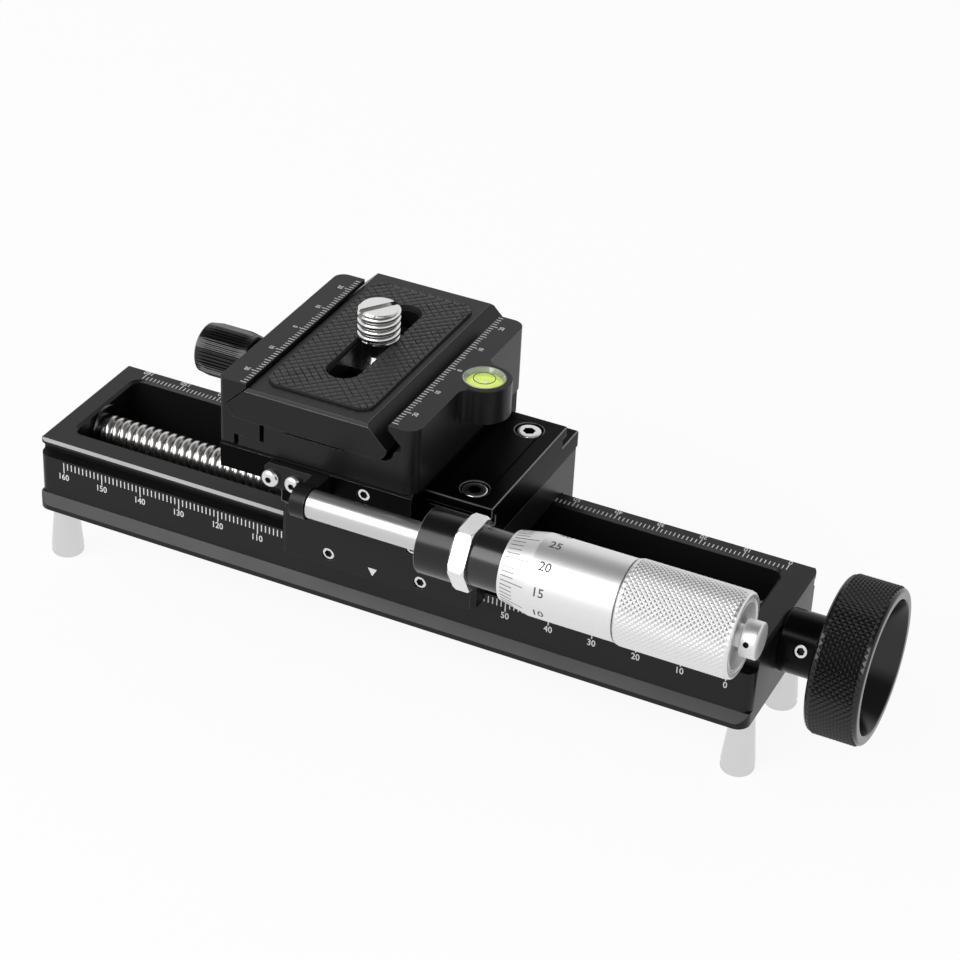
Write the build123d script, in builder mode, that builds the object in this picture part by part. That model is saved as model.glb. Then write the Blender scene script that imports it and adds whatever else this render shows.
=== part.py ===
from build123d import *
import os
from math import cos, radians, sin

# Macro focus rail: a camera on a quick-release plate is moved along X, coarsely by the
# hand wheel and lead screw, and finely by the micrometer head.
# Millimetres. X runs along the rail towards the hand wheel, Y away from the micrometer,
# Z up. The origin is the centre of the tripod thread's mouth in the underside of the rail.

# Clearances
slide_gap = 0.1  # between flat faces that slide on each other
run_gap = 0.05  # radial, between a turning shaft and its bore
fixed_gap = 0.03  # radial, between a fixed piece and its seat
free_gap = 0.3  # where two moving pieces pass without touching

# Rail
rail_length = 172.5
rail_height = 17.5
rail_width = 37.7  # across the two scale faces
base_width = 41.4  # across the flared foot of the section
base_edge = 1.2
flare_rise = 2.1
base_corner = 3.0
rail_chamfer = 0.6
groove_bottom = 13.1
groove_height = 3.2
groove_depth = 2.4
groove_slope = 0.5
floor_thickness = 4.0
wall_left = 5.3
wall_right = 6.4
wall_front = 6.1
wall_back = 4.8
window_corner = 2.5
main_thread_radius = 3.97  # minor radius of the 3/8 inch thread
side_thread_radius = 2.6  # minor radius of the 1/4 inch threads
side_thread_x = 30.0

# Feet
foot_height = 15.8
foot_top_radius = 2.45
foot_rim_radius = 3.7
foot_rim_height = 2.6
foot_rim_chamfer = 0.4
foot_y = 13.0
foot_stud_radius = 1.5
foot_stud_length = 6.0

# Lead screw and hand wheel
screw_z = 11.0
screw_radius = 4.0
journal_radius = 3.0
bearing_radius = 5.5
bearing_flange_radius = 6.2
bearing_flange = 0.8
collar_radius = 5.0
collar_length = 2.0
hub_radius = 6.9
hub_length = 9.95
wheel_radius = 17.4
wheel_width = 11.5
wheel_chamfer = 0.6
cup_radius = 14.8
cup_floor_radius = 12.4
cup_depth = 8.6
hub_screw_offset = 5.05  # from the hub's inner end
hub_screw_angle = 20.0

# Carriage: saddle, lead nut and track plate
saddle_left = -20.0
saddle_length = 46.1
saddle_width = 51.7
saddle_bottom = 12.95
saddle_top = 25.7
saddle_chamfer = 1.0
seam_chamfer = 0.3  # along the seam between saddle and track plate
gib_thickness = 1.5
gib_end_gap = 1.0
gib_screw_offset = 10.95  # either side of a point near the middle of the saddle
gib_screw_middle = 2.35
gib_screw_z = 15.7
bracket_lock_x = 11.1
bracket_lock_z = 23.6
nut_length = 16.0
nut_width = 17.0
nut_bottom = 5.0
nut_screw_y = 6.2
nut_screw_depth = 5.0
track_base_height = 4.2
track_width = 38.0
track_neck_inset = 1.9
track_neck_height = 2.1
track_lip_height = 2.4
track_chamfer = 0.5
track_screw_x = 16.4  # from the middle of the saddle
track_screw_wall = 0.45  # between the screws' counterbores and the neck's side
track_screw_depth = 14.5

# Fasteners
m3_radius = 1.5
m3_head_radius = 2.75
m3_head_height = 3.0
m3_bore_radius = 3.15
m3_bore_depth = 3.2
m3_socket = 1.25  # half of the hexagon socket's width across its flats
m2_radius = 1.0
button_radius = 2.1
button_height = 1.4
button_flat_radius = 1.1  # of the flat top round the socket
button_socket = 0.65
button_socket_depth = 1.0
set_screw_socket = 0.8
socket_depth = 1.2
set_screw_sink = 0.3

# Fine slide and its stop bracket
slide_left = -34.8
slide_length = 45.5
slide_width = 51.7
slide_lift = 0.2  # gap between the slide's skirts and the ledges of the track
slide_top = 36.5
slide_chamfer = 0.8
slide_screw_x = -0.5
bracket_left = -22.9
bracket_thickness = 2.0
bracket_bottom = 30.2
bracket_top = 35.8
bracket_chamfer = 1.0
bracket_screw_x = (-21.3, -15.8)
bracket_screw_z = 32.3
bracket_screw_depth = 3.0
ear_thickness = 3.3
ear_radius = 3.6

# Micrometer head
micrometer_y = -34.35
micrometer_z = 33.6
spindle_tip = -8.3
spindle_radius = 3.1
spindle_pin_radius = 2.0
spindle_pin_length = 2.2
ring_left = 19.0
ring_length = 8.0
ring_radius = 7.05
ring_foot_height = 8.3
ring_foot_thickness = 3.5
ring_foot_flat = 4.3
ring_screw_inset = 2.0  # from the ring's ends
ring_screw_z = 23.8
ring_head_radius = 1.7
ring_screw_depth = 4.5
stem_radius = 4.75
lock_nut_width = 14.0
lock_nut_length = 3.7
lock_nut_chamfer = 0.5
sleeve_radius = 6.35
sleeve_end = 62.5
thimble_left = 37.8
thimble_edge_radius = 7.4
thimble_radius = 8.7
bevel_length = 6.6
grip_left = 63.4
grip_radius = 9.1
grip_wall = 1.2
thimble_end = 87.7
grip_chamfer = 0.4
end_cone_depth = 1.4
end_cone_floor_radius = 4.7
end_cone_rim_radius = 7.2
end_wall = 5.0
stop_left = 88.7
stop_length = 2.8
stop_radius = 3.9
stop_neck_radius = 2.4
stop_neck_depth = 2.2
stop_dimple_radius = 1.0
stop_dimple_depth = 0.5
stop_round = 0.5

# Clamp: base with the fixed jaw, moving jaw, bolt and knob
clamp_front = -25.85
clamp_back = 27.4
clamp_top = 51.9
clamp_corner = 3.0
jaw_gap = 1.1  # closing travel that the open clamp has left
jaw_wall = 2.0
jaw_depth = 9.8
jaw_foot = 3.6
jaw_foot_gap = 1.2
tongue_height = 2.4
channel_floor = 43.2
clamp_slack = 3.1  # between the plate and the fixed jaw's groove
fixed_jaw_lip = 3.0
fixed_jaw_wall = 3.5
jaw_lip_gap = 0.45
jaw_edge_land = 1.1
shelf_width = 1.6
shelf_height = 2.6  # of the shelf beside the fixed jaw over the channel floor
shelf_rise = 0.8
relief_left = -19.3
relief_right = -5.2
relief_depth = 0.6
level_reach = 2.2  # of the level's centre over the clamp's right side
level_y = 1.45
level_radius = 5.0
level_wall = 1.0
level_depth = 4.2
level_dome = 0.3
ear_bottom = 44.0
ear_blend = 2.5
jaw_corner_front = 1.2
jaw_corner_back = 2.5
clamp_screw_x = (-18.65, -4.5)
clamp_screw_y = 20.5
clamp_screw_engagement = 1.8
bolt_z = 41.0
bolt_radius = 1.5
bolt_engagement = 4.4
bolt_slack = 0.3
pin_radius = 1.25
pin_y = 13.5
pin_base_length = 8.0
pin_jaw_length = 6.0
knob_radius = 5.95
knob_length = 11.0
knob_chamfer = 0.6
knob_neck_radius = 4.4
knob_neck_length = 7.5

# Quick-release plate, pad and camera screw
plate_center_x = -14.1
plate_front = -26.3
plate_length = 60.0
plate_width = 37.8
plate_bottom = 43.3
plate_top = 50.9
plate_wall = 2.75  # upright side below the dovetail's flank
plate_round = 2.7
plate_chamfer = 0.6
camera_slot_width = 6.8
slot_front = -12.9
slot_back = 22.0
recess_width = 14.0
recess_depth = 3.0
recess_margin = 4.2
pad_margin = 1.65
pad_front = -21.9
pad_length = 51.1
pad_corner = 3.0
pad_height = 0.6
pad_sink = 0.6
pad_slot_margin = 0.5
camera_screw_y = 6.3
camera_thread_radius = 4.76
camera_thread_bottom = 52.3
camera_thread_top = 59.0
camera_neck_radius = 3.2
camera_flange_radius = 5.5
camera_flange_height = 1.3
camera_driver_width = 1.6
camera_driver_depth = 2.0
camera_driver_angle = 63.0
camera_thread_chamfer = 0.6
retainer_length = 12.0
retainer_height = 1.2
retainer_side_gap = 0.2

# Places that follow from the sizes above
rail_end = rail_length / 2
face_y = rail_width / 2
base_y = base_width / 2
window_left = -rail_end + wall_left
window_right = rail_end - wall_right
window_front = -face_y + wall_front
window_back = face_y - wall_back
groove_top = groove_bottom + groove_height
saddle_right = saddle_left + saddle_length
saddle_middle = (saddle_left + saddle_right) / 2
saddle_y = saddle_width / 2
saddle_ceiling = rail_height + slide_gap
apron_y = face_y + slide_gap
ledge_z = saddle_top + track_base_height
track_y = track_width / 2
track_neck_y = track_y - track_neck_inset
track_screw_y = track_neck_y - track_screw_wall - m3_bore_radius
lip_bottom = ledge_z + track_neck_height
track_top = lip_bottom + track_lip_height
slide_right = slide_left + slide_length
slide_y = slide_width / 2
slide_bottom = ledge_z + slide_lift
slide_ceiling = track_top + slide_gap
gib_back_y = track_y + slide_gap + gib_thickness
nut_left = ring_left + ring_length
nut_right = nut_left + lock_nut_length
thimble_bore = sleeve_radius + free_gap
thimble_inner_end = thimble_end - end_cone_depth - end_wall
grip_inner_radius = grip_radius - grip_wall
plate_half = plate_width / 2
flank_bottom = plate_bottom + plate_wall
top_half = plate_half - (plate_top - flank_bottom)
pad_width = 2 * (top_half - pad_margin)
groove_wall_left = plate_center_x - plate_half - slide_gap
jaw_edge_left = plate_center_x - top_half - jaw_lip_gap
clamp_left = groove_wall_left - jaw_wall
jaw_right = clamp_left + jaw_depth
base_left = jaw_right + jaw_gap
groove_wall_right = plate_center_x + plate_half + clamp_slack
jaw_edge_right = groove_wall_right - fixed_jaw_lip
shelf_left = groove_wall_right - shelf_width
clamp_right = groove_wall_right + fixed_jaw_wall
level_x = clamp_right + level_reach
tongue_top = slide_top + tongue_height
tongue_left = clamp_left + jaw_foot + jaw_foot_gap
ear_outer_radius = level_radius + level_wall
slot_middle = (slot_front + slot_back) / 2
slot_length = slot_back - slot_front
recess_top = plate_bottom + recess_depth
retainer_top = recess_top - slide_gap
retainer_bottom = retainer_top - retainer_height
flange_top = retainer_bottom - slide_gap
flange_bottom = flange_top - camera_flange_height
pad_bottom = plate_top - pad_sink
pad_top = plate_top + pad_height
screw_seat = channel_floor - relief_depth
clamp_screw_depth = screw_seat - slide_top + clamp_screw_engagement

os.makedirs("parts", exist_ok=True)


def save(piece, name):
    """Name a finished piece and write it to its own file."""
    piece.part.label = name
    export_step(piece.part, f"parts/{name}.step")


def mirrored(points):
    """Close a half outline of (across, up) points with its mirror image."""
    return points + [(-across, up) for across, up in reversed(points)]


def along_x(y, z):
    """Plane through a shaft's axis along X: local x along the shaft, local y upwards."""
    return Plane(origin=(0, y, z), x_dir=(1, 0, 0), z_dir=(0, -1, 0))


def along_z(x, y, direction):
    """Plane through a vertical axis: local x up for direction 1, down for -1."""
    return Plane(origin=(x, y, 0), x_dir=(0, 0, direction), z_dir=(0, -1, 0))


def turned(plane, sections, mode=Mode.ADD):
    """Turn (start, end, start radius, end radius) sections about the plane's local x axis."""
    points = [(sections[0][0], 0)]
    for start, end, start_radius, end_radius in sections:
        for point in ((start, start_radius), (end, end_radius)):
            if point != points[-1]:
                points.append(point)
    points.append((sections[-1][1], 0))
    with BuildSketch(plane) as profile:
        with BuildLine():
            Polyline(*points, close=True)
        make_face()
    revolve(profile.sketch, axis=Axis(plane.origin, plane.x_dir), mode=mode)


def bores(plane, places, radius, depth):
    """Bore round holes into the piece, against the plane's normal."""
    with BuildSketch(plane) as circles:
        with Locations(*places):
            Circle(radius)
    extrude(circles.sketch, amount=-depth, mode=Mode.SUBTRACT)


def sockets(plane, places, half_width, depth=socket_depth):
    """Cut hexagon sockets into screw heads that end on the plane."""
    with BuildSketch(plane) as hexagons:
        with Locations(*places):
            RegularPolygon(half_width, 6, major_radius=False)
    extrude(hexagons.sketch, amount=-depth, mode=Mode.SUBTRACT)


def set_screws(name, plane, places, length):
    """Socket set screws of one size, their outer ends sunk below the plane."""
    outer = plane.offset(-set_screw_sink)
    with BuildPart() as screws:
        with BuildSketch(outer):
            with Locations(*places):
                Circle(m3_radius)
        extrude(amount=-(length - set_screw_sink))
        sockets(outer, places, set_screw_socket)
    save(screws, name)


def cap_screws(name, plane, places, depth):
    """Socket cap screws whose heads end just below the plane; depth is to their tips."""
    head_top = plane.offset(m3_head_height - m3_bore_depth)
    with BuildPart() as screws:
        with BuildSketch(head_top):
            with Locations(*places):
                Circle(m3_head_radius)
        extrude(amount=-m3_head_height)
        with BuildSketch(plane.offset(-m3_bore_depth)):
            with Locations(*places):
                Circle(m3_radius)
        extrude(amount=-(depth - m3_bore_depth))
        sockets(head_top, places, m3_socket)
    save(screws, name)


def button_screws(name, plane, places, length, head_radius=button_radius):
    """Button-head screws whose heads stand on the plane, which faces -Y."""
    head_top = plane.offset(button_height)
    with BuildPart() as screws:
        with BuildSketch(plane):
            with Locations(*places):
                Circle(head_radius)
        extrude(amount=button_height)
        fillet(screws.edges().group_by(Axis.Y)[0], head_radius - button_flat_radius)
        with BuildSketch(plane):
            with Locations(*places):
                Circle(m2_radius)
        extrude(amount=-length)
        sockets(head_top, places, button_socket, button_socket_depth)
    save(screws, name)


# Rail: an extruded section with V grooves in its sides and an open channel on top
half_section = [
    (base_y, 0),
    (base_y, base_edge),
    (face_y, base_edge + flare_rise),
    (face_y, groove_bottom),
    (face_y - groove_depth, groove_bottom + groove_slope),
    (face_y - groove_depth, groove_top - groove_slope),
    (face_y, groove_top),
    (face_y, rail_height),
]
foot_places = [
    (side * (rail_end - wall / 2), row * foot_y)
    for side, wall in ((-1, wall_left), (1, wall_right))
    for row in (-1, 1)
]
window_x = (window_left + window_right) / 2
window_y = (window_front + window_back) / 2

with BuildPart() as rail_body:
    with BuildSketch(Plane.YZ.offset(-rail_end)):
        with BuildLine():
            Polyline(*mirrored(half_section), close=True)
        make_face()
    extrude(amount=rail_length)
    with BuildSketch(Plane.XY):
        RectangleRounded(rail_length, base_width, base_corner)
    extrude(amount=rail_height, mode=Mode.INTERSECT)
    with BuildSketch(Plane.XY.offset(floor_thickness)):
        with Locations((window_x, window_y)):
            RectangleRounded(window_right - window_left, window_back - window_front, window_corner)
    extrude(amount=rail_height, mode=Mode.SUBTRACT)
    chamfer(rail_body.faces().sort_by(Axis.Z)[-1].edges(), rail_chamfer)
    bores(Plane.YZ.offset(rail_end), [(0, screw_z)], bearing_radius + fixed_gap, rail_length)
    underside = Plane.XY.rotated((180, 0, 0))
    bores(underside, [(0, 0)], main_thread_radius, floor_thickness)
    bores(underside, [(side_thread_x, 0), (-side_thread_x, 0)], side_thread_radius, floor_thickness)
    bores(underside, foot_places, foot_stud_radius + fixed_gap, foot_stud_length + fixed_gap)
save(rail_body, "rail_body")

# Feet: turned cones with a rim, screwed into the end walls
foot_names = ["foot_left_front", "foot_left_back", "foot_right_front", "foot_right_back"]
foot_rim_top = foot_height - foot_rim_height
for name, (x, y) in zip(foot_names, foot_places):
    with BuildPart() as foot:
        turned(
            along_z(x, y, -1),
            [
                (-foot_stud_length, 0, foot_stud_radius, foot_stud_radius),
                (0, foot_rim_top, foot_top_radius, foot_rim_radius),
                (foot_rim_top, foot_height, foot_rim_radius, foot_rim_radius),
            ],
        )
        chamfer(foot.edges().filter_by(GeomType.CIRCLE).group_by(Axis.Z)[0], foot_rim_chamfer)
    save(foot, name)

# Bearings: flanged bushes in the end walls that carry the lead screw
screw_line = along_x(0, screw_z)
bearing_left_inner = window_left + bearing_flange
bearing_right_inner = window_right - bearing_flange
bearing_spans = {
    "bearing_left": [
        (-rail_end, window_left, bearing_radius, bearing_radius),
        (window_left, bearing_left_inner, bearing_flange_radius, bearing_flange_radius),
    ],
    "bearing_right": [
        (bearing_right_inner, window_right, bearing_flange_radius, bearing_flange_radius),
        (window_right, rail_end, bearing_radius, bearing_radius),
    ],
}
for name, sections in bearing_spans.items():
    with BuildPart() as bearing:
        turned(screw_line, sections)
        bores(
            Plane.YZ.offset(rail_end), [(0, screw_z)], journal_radius + run_gap, rail_length
        )
    save(bearing, name)

# Lead screw: two shoulders inside the bearings, journals through them
thread_left = bearing_left_inner + free_gap + collar_length
thread_right = bearing_right_inner - free_gap - collar_length
hub_start = rail_end + free_gap
wheel_start = hub_start + hub_length
wheel_end = wheel_start + wheel_width
cup_floor = wheel_end - cup_depth
with BuildPart() as lead_screw:
    turned(
        screw_line,
        [
            (-rail_end, thread_left - collar_length, journal_radius, journal_radius),
            (thread_left - collar_length, thread_left, collar_radius, collar_radius),
            (thread_left, thread_right, screw_radius, screw_radius),
            (thread_right, thread_right + collar_length, collar_radius, collar_radius),
            (thread_right + collar_length, cup_floor, journal_radius, journal_radius),
        ],
    )
save(lead_screw, "lead_screw")

# Hand wheel: a hub on the lead screw and a cupped rim
with BuildPart() as hand_wheel:
    turned(
        screw_line,
        [
            (hub_start, wheel_start, hub_radius, hub_radius),
            (wheel_start, wheel_start + wheel_chamfer, wheel_radius - wheel_chamfer, wheel_radius),
            (wheel_start + wheel_chamfer, wheel_end - wheel_chamfer, wheel_radius, wheel_radius),
            (wheel_end - wheel_chamfer, wheel_end, wheel_radius, wheel_radius - wheel_chamfer),
        ],
    )
    turned(screw_line, [(cup_floor, wheel_end, cup_floor_radius, cup_radius)], mode=Mode.SUBTRACT)
    bores(Plane.YZ.offset(wheel_end), [(0, screw_z)], journal_radius + fixed_gap, wheel_end)
    hub_screw_normal = (0, -cos(radians(hub_screw_angle)), sin(radians(hub_screw_angle)))
    hub_screw_plane = Plane(
        origin=(hub_start + hub_screw_offset, 0, screw_z), x_dir=(1, 0, 0), z_dir=hub_screw_normal
    ).offset(hub_radius)
    bores(hub_screw_plane, [(0, 0)], m3_radius + fixed_gap, hub_radius)
save(hand_wheel, "hand_wheel")
set_screws(
    "wheel_set_screw", hub_screw_plane, [(0, 0)], hub_radius - journal_radius - fixed_gap
)

# Saddle: wraps the rail, its back apron hooks into the groove, the front one holds a gib
tongue_y = face_y - groove_depth + slide_gap
saddle_section = [
    (-saddle_y, saddle_bottom),
    (-saddle_y, saddle_top - seam_chamfer),
    (-saddle_y + seam_chamfer, saddle_top),
    (saddle_y - seam_chamfer, saddle_top),
    (saddle_y, saddle_top - seam_chamfer),
    (saddle_y, saddle_bottom),
    (apron_y, saddle_bottom),
    (apron_y, groove_bottom + slide_gap),
    (tongue_y, groove_bottom + groove_slope + slide_gap),
    (tongue_y, groove_top - groove_slope - slide_gap),
    (apron_y, groove_top - slide_gap),
    (apron_y, saddle_ceiling),
    (-apron_y - gib_thickness, saddle_ceiling),
    (-apron_y - gib_thickness, saddle_bottom),
]
saddle_front = Plane(origin=(0, -saddle_y, 0), x_dir=(1, 0, 0), z_dir=(0, -1, 0))
apron_depth = saddle_y - apron_y - gib_thickness
gib_screw_places = [
    (gib_screw_middle - gib_screw_offset, gib_screw_z),
    (gib_screw_middle + gib_screw_offset, gib_screw_z),
    (bracket_lock_x, bracket_lock_z),
]
nut_screw_places = [(saddle_middle, -nut_screw_y), (saddle_middle, nut_screw_y)]
track_screw_places = [
    (saddle_middle + side * track_screw_x, row * track_screw_y)
    for side in (-1, 1)
    for row in (-1, 1)
]
nut_screw_length = saddle_top - saddle_ceiling + nut_screw_depth
ring_screw_places = [
    (ring_left + ring_screw_inset, ring_screw_z),
    (ring_left + ring_length - ring_screw_inset, ring_screw_z),
]
with BuildPart() as saddle:
    with BuildSketch(Plane.YZ.offset(saddle_left)):
        with BuildLine():
            Polyline(*saddle_section, close=True)
        make_face()
    extrude(amount=saddle_length)
    corners = saddle.edges().filter_by(Axis.Z).filter_by(lambda edge: edge.length > saddle_chamfer)
    outer_corners = corners.group_by(Axis.Y)[0] + corners.group_by(Axis.Y)[-1]
    chamfer(outer_corners, saddle_chamfer)
    with Locations(Plane.XY.offset(saddle_top)):
        with Locations(*nut_screw_places):
            CounterBoreHole(m3_radius + fixed_gap, m3_bore_radius, m3_bore_depth)
    bores(
        Plane.XY.offset(saddle_top),
        track_screw_places,
        m3_radius + fixed_gap,
        track_screw_depth - (track_top - saddle_top) + fixed_gap,
    )
    bores(saddle_front, gib_screw_places, m3_radius + fixed_gap, apron_depth)
    bores(saddle_front, ring_screw_places, m2_radius + fixed_gap, ring_screw_depth + fixed_gap)
save(saddle, "saddle")
cap_screws("nut_screws", Plane.XY.offset(saddle_top), nut_screw_places, nut_screw_length)
set_screws("gib_set_screws", saddle_front, gib_screw_places, apron_depth - slide_gap)

# Gib: a strip between the front apron and the rail, with its own tongue in the groove
gib_section = [
    (-apron_y - gib_thickness + slide_gap, saddle_bottom),
    (-apron_y - gib_thickness + slide_gap, saddle_ceiling - slide_gap),
    (-apron_y, saddle_ceiling - slide_gap),
    (-apron_y, groove_top - slide_gap),
    (-tongue_y, groove_top - groove_slope - slide_gap),
    (-tongue_y, groove_bottom + groove_slope + slide_gap),
    (-apron_y, groove_bottom + slide_gap),
    (-apron_y, saddle_bottom),
]
with BuildPart() as saddle_gib:
    with BuildSketch(Plane.YZ.offset(saddle_left + gib_end_gap)):
        with BuildLine():
            Polyline(*gib_section, close=True)
        make_face()
    extrude(amount=saddle_length - 2 * gib_end_gap)
save(saddle_gib, "saddle_gib")

# Lead nut: a block under the saddle that runs on the lead screw
with BuildPart() as lead_nut:
    with BuildSketch(Plane.XY.offset(nut_bottom)):
        with Locations((saddle_middle, 0)):
            Rectangle(nut_length, nut_width)
    extrude(amount=saddle_ceiling - nut_bottom)
    chamfer(lead_nut.edges().filter_by(Axis.X).group_by(Axis.Z)[0], saddle_chamfer)
    bores(Plane.YZ.offset(rail_end), [(0, screw_z)], screw_radius + run_gap, rail_length)
    bores(
        Plane.XY.offset(saddle_ceiling),
        nut_screw_places,
        m3_radius + fixed_gap,
        nut_screw_depth + fixed_gap,
    )
save(lead_nut, "lead_nut")

# Track plate: screwed on the saddle, its raised lip guides the fine slide
track_section = mirrored(
    [
        (saddle_y, saddle_top),
        (saddle_y, ledge_z),
        (track_neck_y, ledge_z),
        (track_neck_y, lip_bottom),
        (track_y, lip_bottom),
        (track_y, track_top),
    ]
)
with BuildPart() as track_plate:
    with BuildSketch(Plane.YZ.offset(saddle_left)):
        with BuildLine():
            Polyline(*track_section, close=True)
        make_face()
    extrude(amount=saddle_length)
    ledges = track_plate.edges().filter_by(Axis.X).group_by(Axis.Y)
    chamfer(ledges[0].sort_by(Axis.Z)[-1:] + ledges[-1].sort_by(Axis.Z)[-1:], track_chamfer)
    with Locations(Plane.XY.offset(track_top)):
        with Locations(*track_screw_places):
            CounterBoreHole(m3_radius + fixed_gap, m3_bore_radius, m3_bore_depth)
save(track_plate, "track_plate")
cap_screws(
    "track_screws", Plane.XY.offset(track_top), track_screw_places, track_screw_depth
)

# Fine slide: hooks under the track's lip, with a gib on the front side
slide_section = [
    (-slide_y, slide_bottom),
    (-slide_y, slide_top),
    (slide_y, slide_top),
    (slide_y, slide_bottom),
    (track_neck_y + slide_gap, slide_bottom),
    (track_neck_y + slide_gap, lip_bottom - slide_gap),
    (track_y + slide_gap, lip_bottom - slide_gap),
    (track_y + slide_gap, slide_ceiling),
    (-gib_back_y, slide_ceiling),
    (-gib_back_y, lip_bottom - slide_gap),
    (-track_neck_y - slide_gap, lip_bottom - slide_gap),
    (-track_neck_y - slide_gap, slide_bottom),
]
slide_front = Plane(origin=(0, -slide_y, 0), x_dir=(1, 0, 0), z_dir=(0, -1, 0))
slide_screw_z = (lip_bottom + track_top) / 2
slide_wall = slide_y - gib_back_y
bracket_screw_places = [(x, bracket_screw_z) for x in bracket_screw_x]
clamp_screw_places = [
    (x, row * clamp_screw_y) for x in clamp_screw_x for row in (-1, 1)
]
with BuildPart() as fine_slide:
    with BuildSketch(Plane.YZ.offset(slide_left)):
        with BuildLine():
            Polyline(*slide_section, close=True)
        make_face()
    extrude(amount=slide_length)
    slide_edges = fine_slide.edges().filter_by(Axis.X).group_by(Axis.Z)[-1]
    chamfer(slide_edges, slide_chamfer)
    bores(slide_front, [(slide_screw_x, slide_screw_z)], m3_radius + fixed_gap, slide_wall)
    bores(slide_front, bracket_screw_places, m2_radius + fixed_gap, bracket_screw_depth + fixed_gap)
    bores(
        Plane.XY.offset(slide_top),
        clamp_screw_places,
        m3_radius + fixed_gap,
        clamp_screw_engagement + fixed_gap,
    )
save(fine_slide, "fine_slide")
set_screws(
    "slide_set_screw", slide_front, [(slide_screw_x, slide_screw_z)], slide_wall - slide_gap
)

# Gib of the fine slide: a plain strip beside the lip
with BuildPart() as slide_gib:
    with BuildSketch(Plane.YZ.offset(slide_left + gib_end_gap)):
        with Locations((-gib_back_y + slide_gap, slide_ceiling - slide_gap)):
            Rectangle(
                gib_thickness - slide_gap,
                track_lip_height,
                align=(Align.MIN, Align.MAX),
            )
    extrude(amount=slide_length - 2 * gib_end_gap)
save(slide_gib, "slide_gib")

# Stop bracket: a plate on the slide's front face with an ear that the spindle bears on
ear_left = spindle_tip - ear_thickness
bracket_front = slide_front.offset(bracket_thickness)
with BuildPart() as stop_bracket:
    with BuildSketch(slide_front):
        with Locations((bracket_left, bracket_bottom)):
            Rectangle(
                spindle_tip - bracket_left,
                bracket_top - bracket_bottom,
                align=(Align.MIN, Align.MIN),
            )
    extrude(amount=bracket_thickness)
    chamfer(stop_bracket.edges().filter_by(Axis.Y).group_by(Axis.X)[0].sort_by(Axis.Z)[-1], bracket_chamfer)
    with BuildSketch(Plane.YZ.offset(ear_left)):
        with Locations((micrometer_y, micrometer_z)):
            Circle(ear_radius)
        with Locations((micrometer_y, bracket_bottom)):
            Rectangle(
                -slide_y - micrometer_y,
                bracket_top - bracket_bottom,
                align=(Align.MIN, Align.MIN),
            )
    extrude(amount=ear_thickness)
    bores(bracket_front, bracket_screw_places, m2_radius + fixed_gap, bracket_thickness)
save(stop_bracket, "stop_bracket")

button_screws(
    "bracket_screws", bracket_front, bracket_screw_places, bracket_thickness + bracket_screw_depth
)

# Ring bracket: holds the micrometer's stem, its foot screwed to the saddle's front
micrometer_line = along_x(micrometer_y, micrometer_z)
ring_plane = Plane.YZ.offset(ring_left)
ring_foot_front = -saddle_y - ring_foot_thickness
foot_front = saddle_front.offset(ring_foot_thickness)
ring_foot_bottom = ledge_z - ring_foot_height
with BuildPart() as ring_bracket:
    with BuildSketch(ring_plane):
        with Locations((micrometer_y, micrometer_z)):
            Circle(ring_radius)
    extrude(amount=ring_length)
    with BuildSketch(ring_plane):
        with BuildLine():
            Polyline(
                (-saddle_y, ring_foot_bottom),
                (-saddle_y, ledge_z),
                (micrometer_y, ledge_z),
                (ring_foot_front, ring_foot_bottom + ring_foot_flat),
                (ring_foot_front, ring_foot_bottom),
                close=True,
            )
        make_face()
    extrude(amount=ring_length)
    bores(
        Plane.YZ.offset(nut_left),
        [(micrometer_y, micrometer_z)],
        stem_radius + fixed_gap,
        ring_length,
    )
    bores(foot_front, ring_screw_places, m2_radius + fixed_gap, ring_foot_thickness)
    bores(foot_front, ring_screw_places, ring_head_radius + fixed_gap, button_height)
save(ring_bracket, "ring_bracket")
button_screws(
    "ring_screws",
    foot_front.offset(-button_height),
    ring_screw_places,
    ring_foot_thickness - button_height + ring_screw_depth,
    ring_head_radius,
)

# Sleeve: the micrometer's fixed stem and barrel, bored for the spindle
micrometer_center = [(micrometer_y, micrometer_z)]
with BuildPart() as sleeve:
    turned(
        micrometer_line,
        [
            (ring_left, nut_right, stem_radius, stem_radius),
            (nut_right, sleeve_end, sleeve_radius, sleeve_radius),
        ],
    )
    bores(Plane.YZ.offset(sleeve_end), micrometer_center, spindle_radius + run_gap, rail_length)
save(sleeve, "sleeve")

# Lock nut: clamps the sleeve in the ring, two of its corners level with the axis
nut_corner = lock_nut_width / 2 / cos(radians(30))
with BuildPart() as lock_nut:
    with BuildSketch(Plane.YZ.offset(nut_left)):
        with Locations(*micrometer_center):
            RegularPolygon(lock_nut_width / 2, 6, major_radius=False)
    extrude(amount=lock_nut_length)
    turned(
        micrometer_line,
        [
            (nut_left, nut_left + lock_nut_chamfer, nut_corner - lock_nut_chamfer, nut_corner),
            (nut_left + lock_nut_chamfer, nut_right - lock_nut_chamfer, nut_corner, nut_corner),
            (nut_right - lock_nut_chamfer, nut_right, nut_corner, nut_corner - lock_nut_chamfer),
        ],
        mode=Mode.INTERSECT,
    )
    bores(Plane.YZ.offset(nut_right), micrometer_center, stem_radius + fixed_gap, lock_nut_length)
save(lock_nut, "lock_nut")

# Spindle: slides in the sleeve, its thin end turns in the thimble's end wall
spindle_end = thimble_inner_end - free_gap
with BuildPart() as spindle:
    turned(
        micrometer_line,
        [
            (spindle_tip, spindle_end, spindle_radius, spindle_radius),
            (
                spindle_end,
                thimble_inner_end + spindle_pin_length,
                spindle_pin_radius,
                spindle_pin_radius,
            ),
        ],
    )
save(spindle, "spindle")

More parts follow.
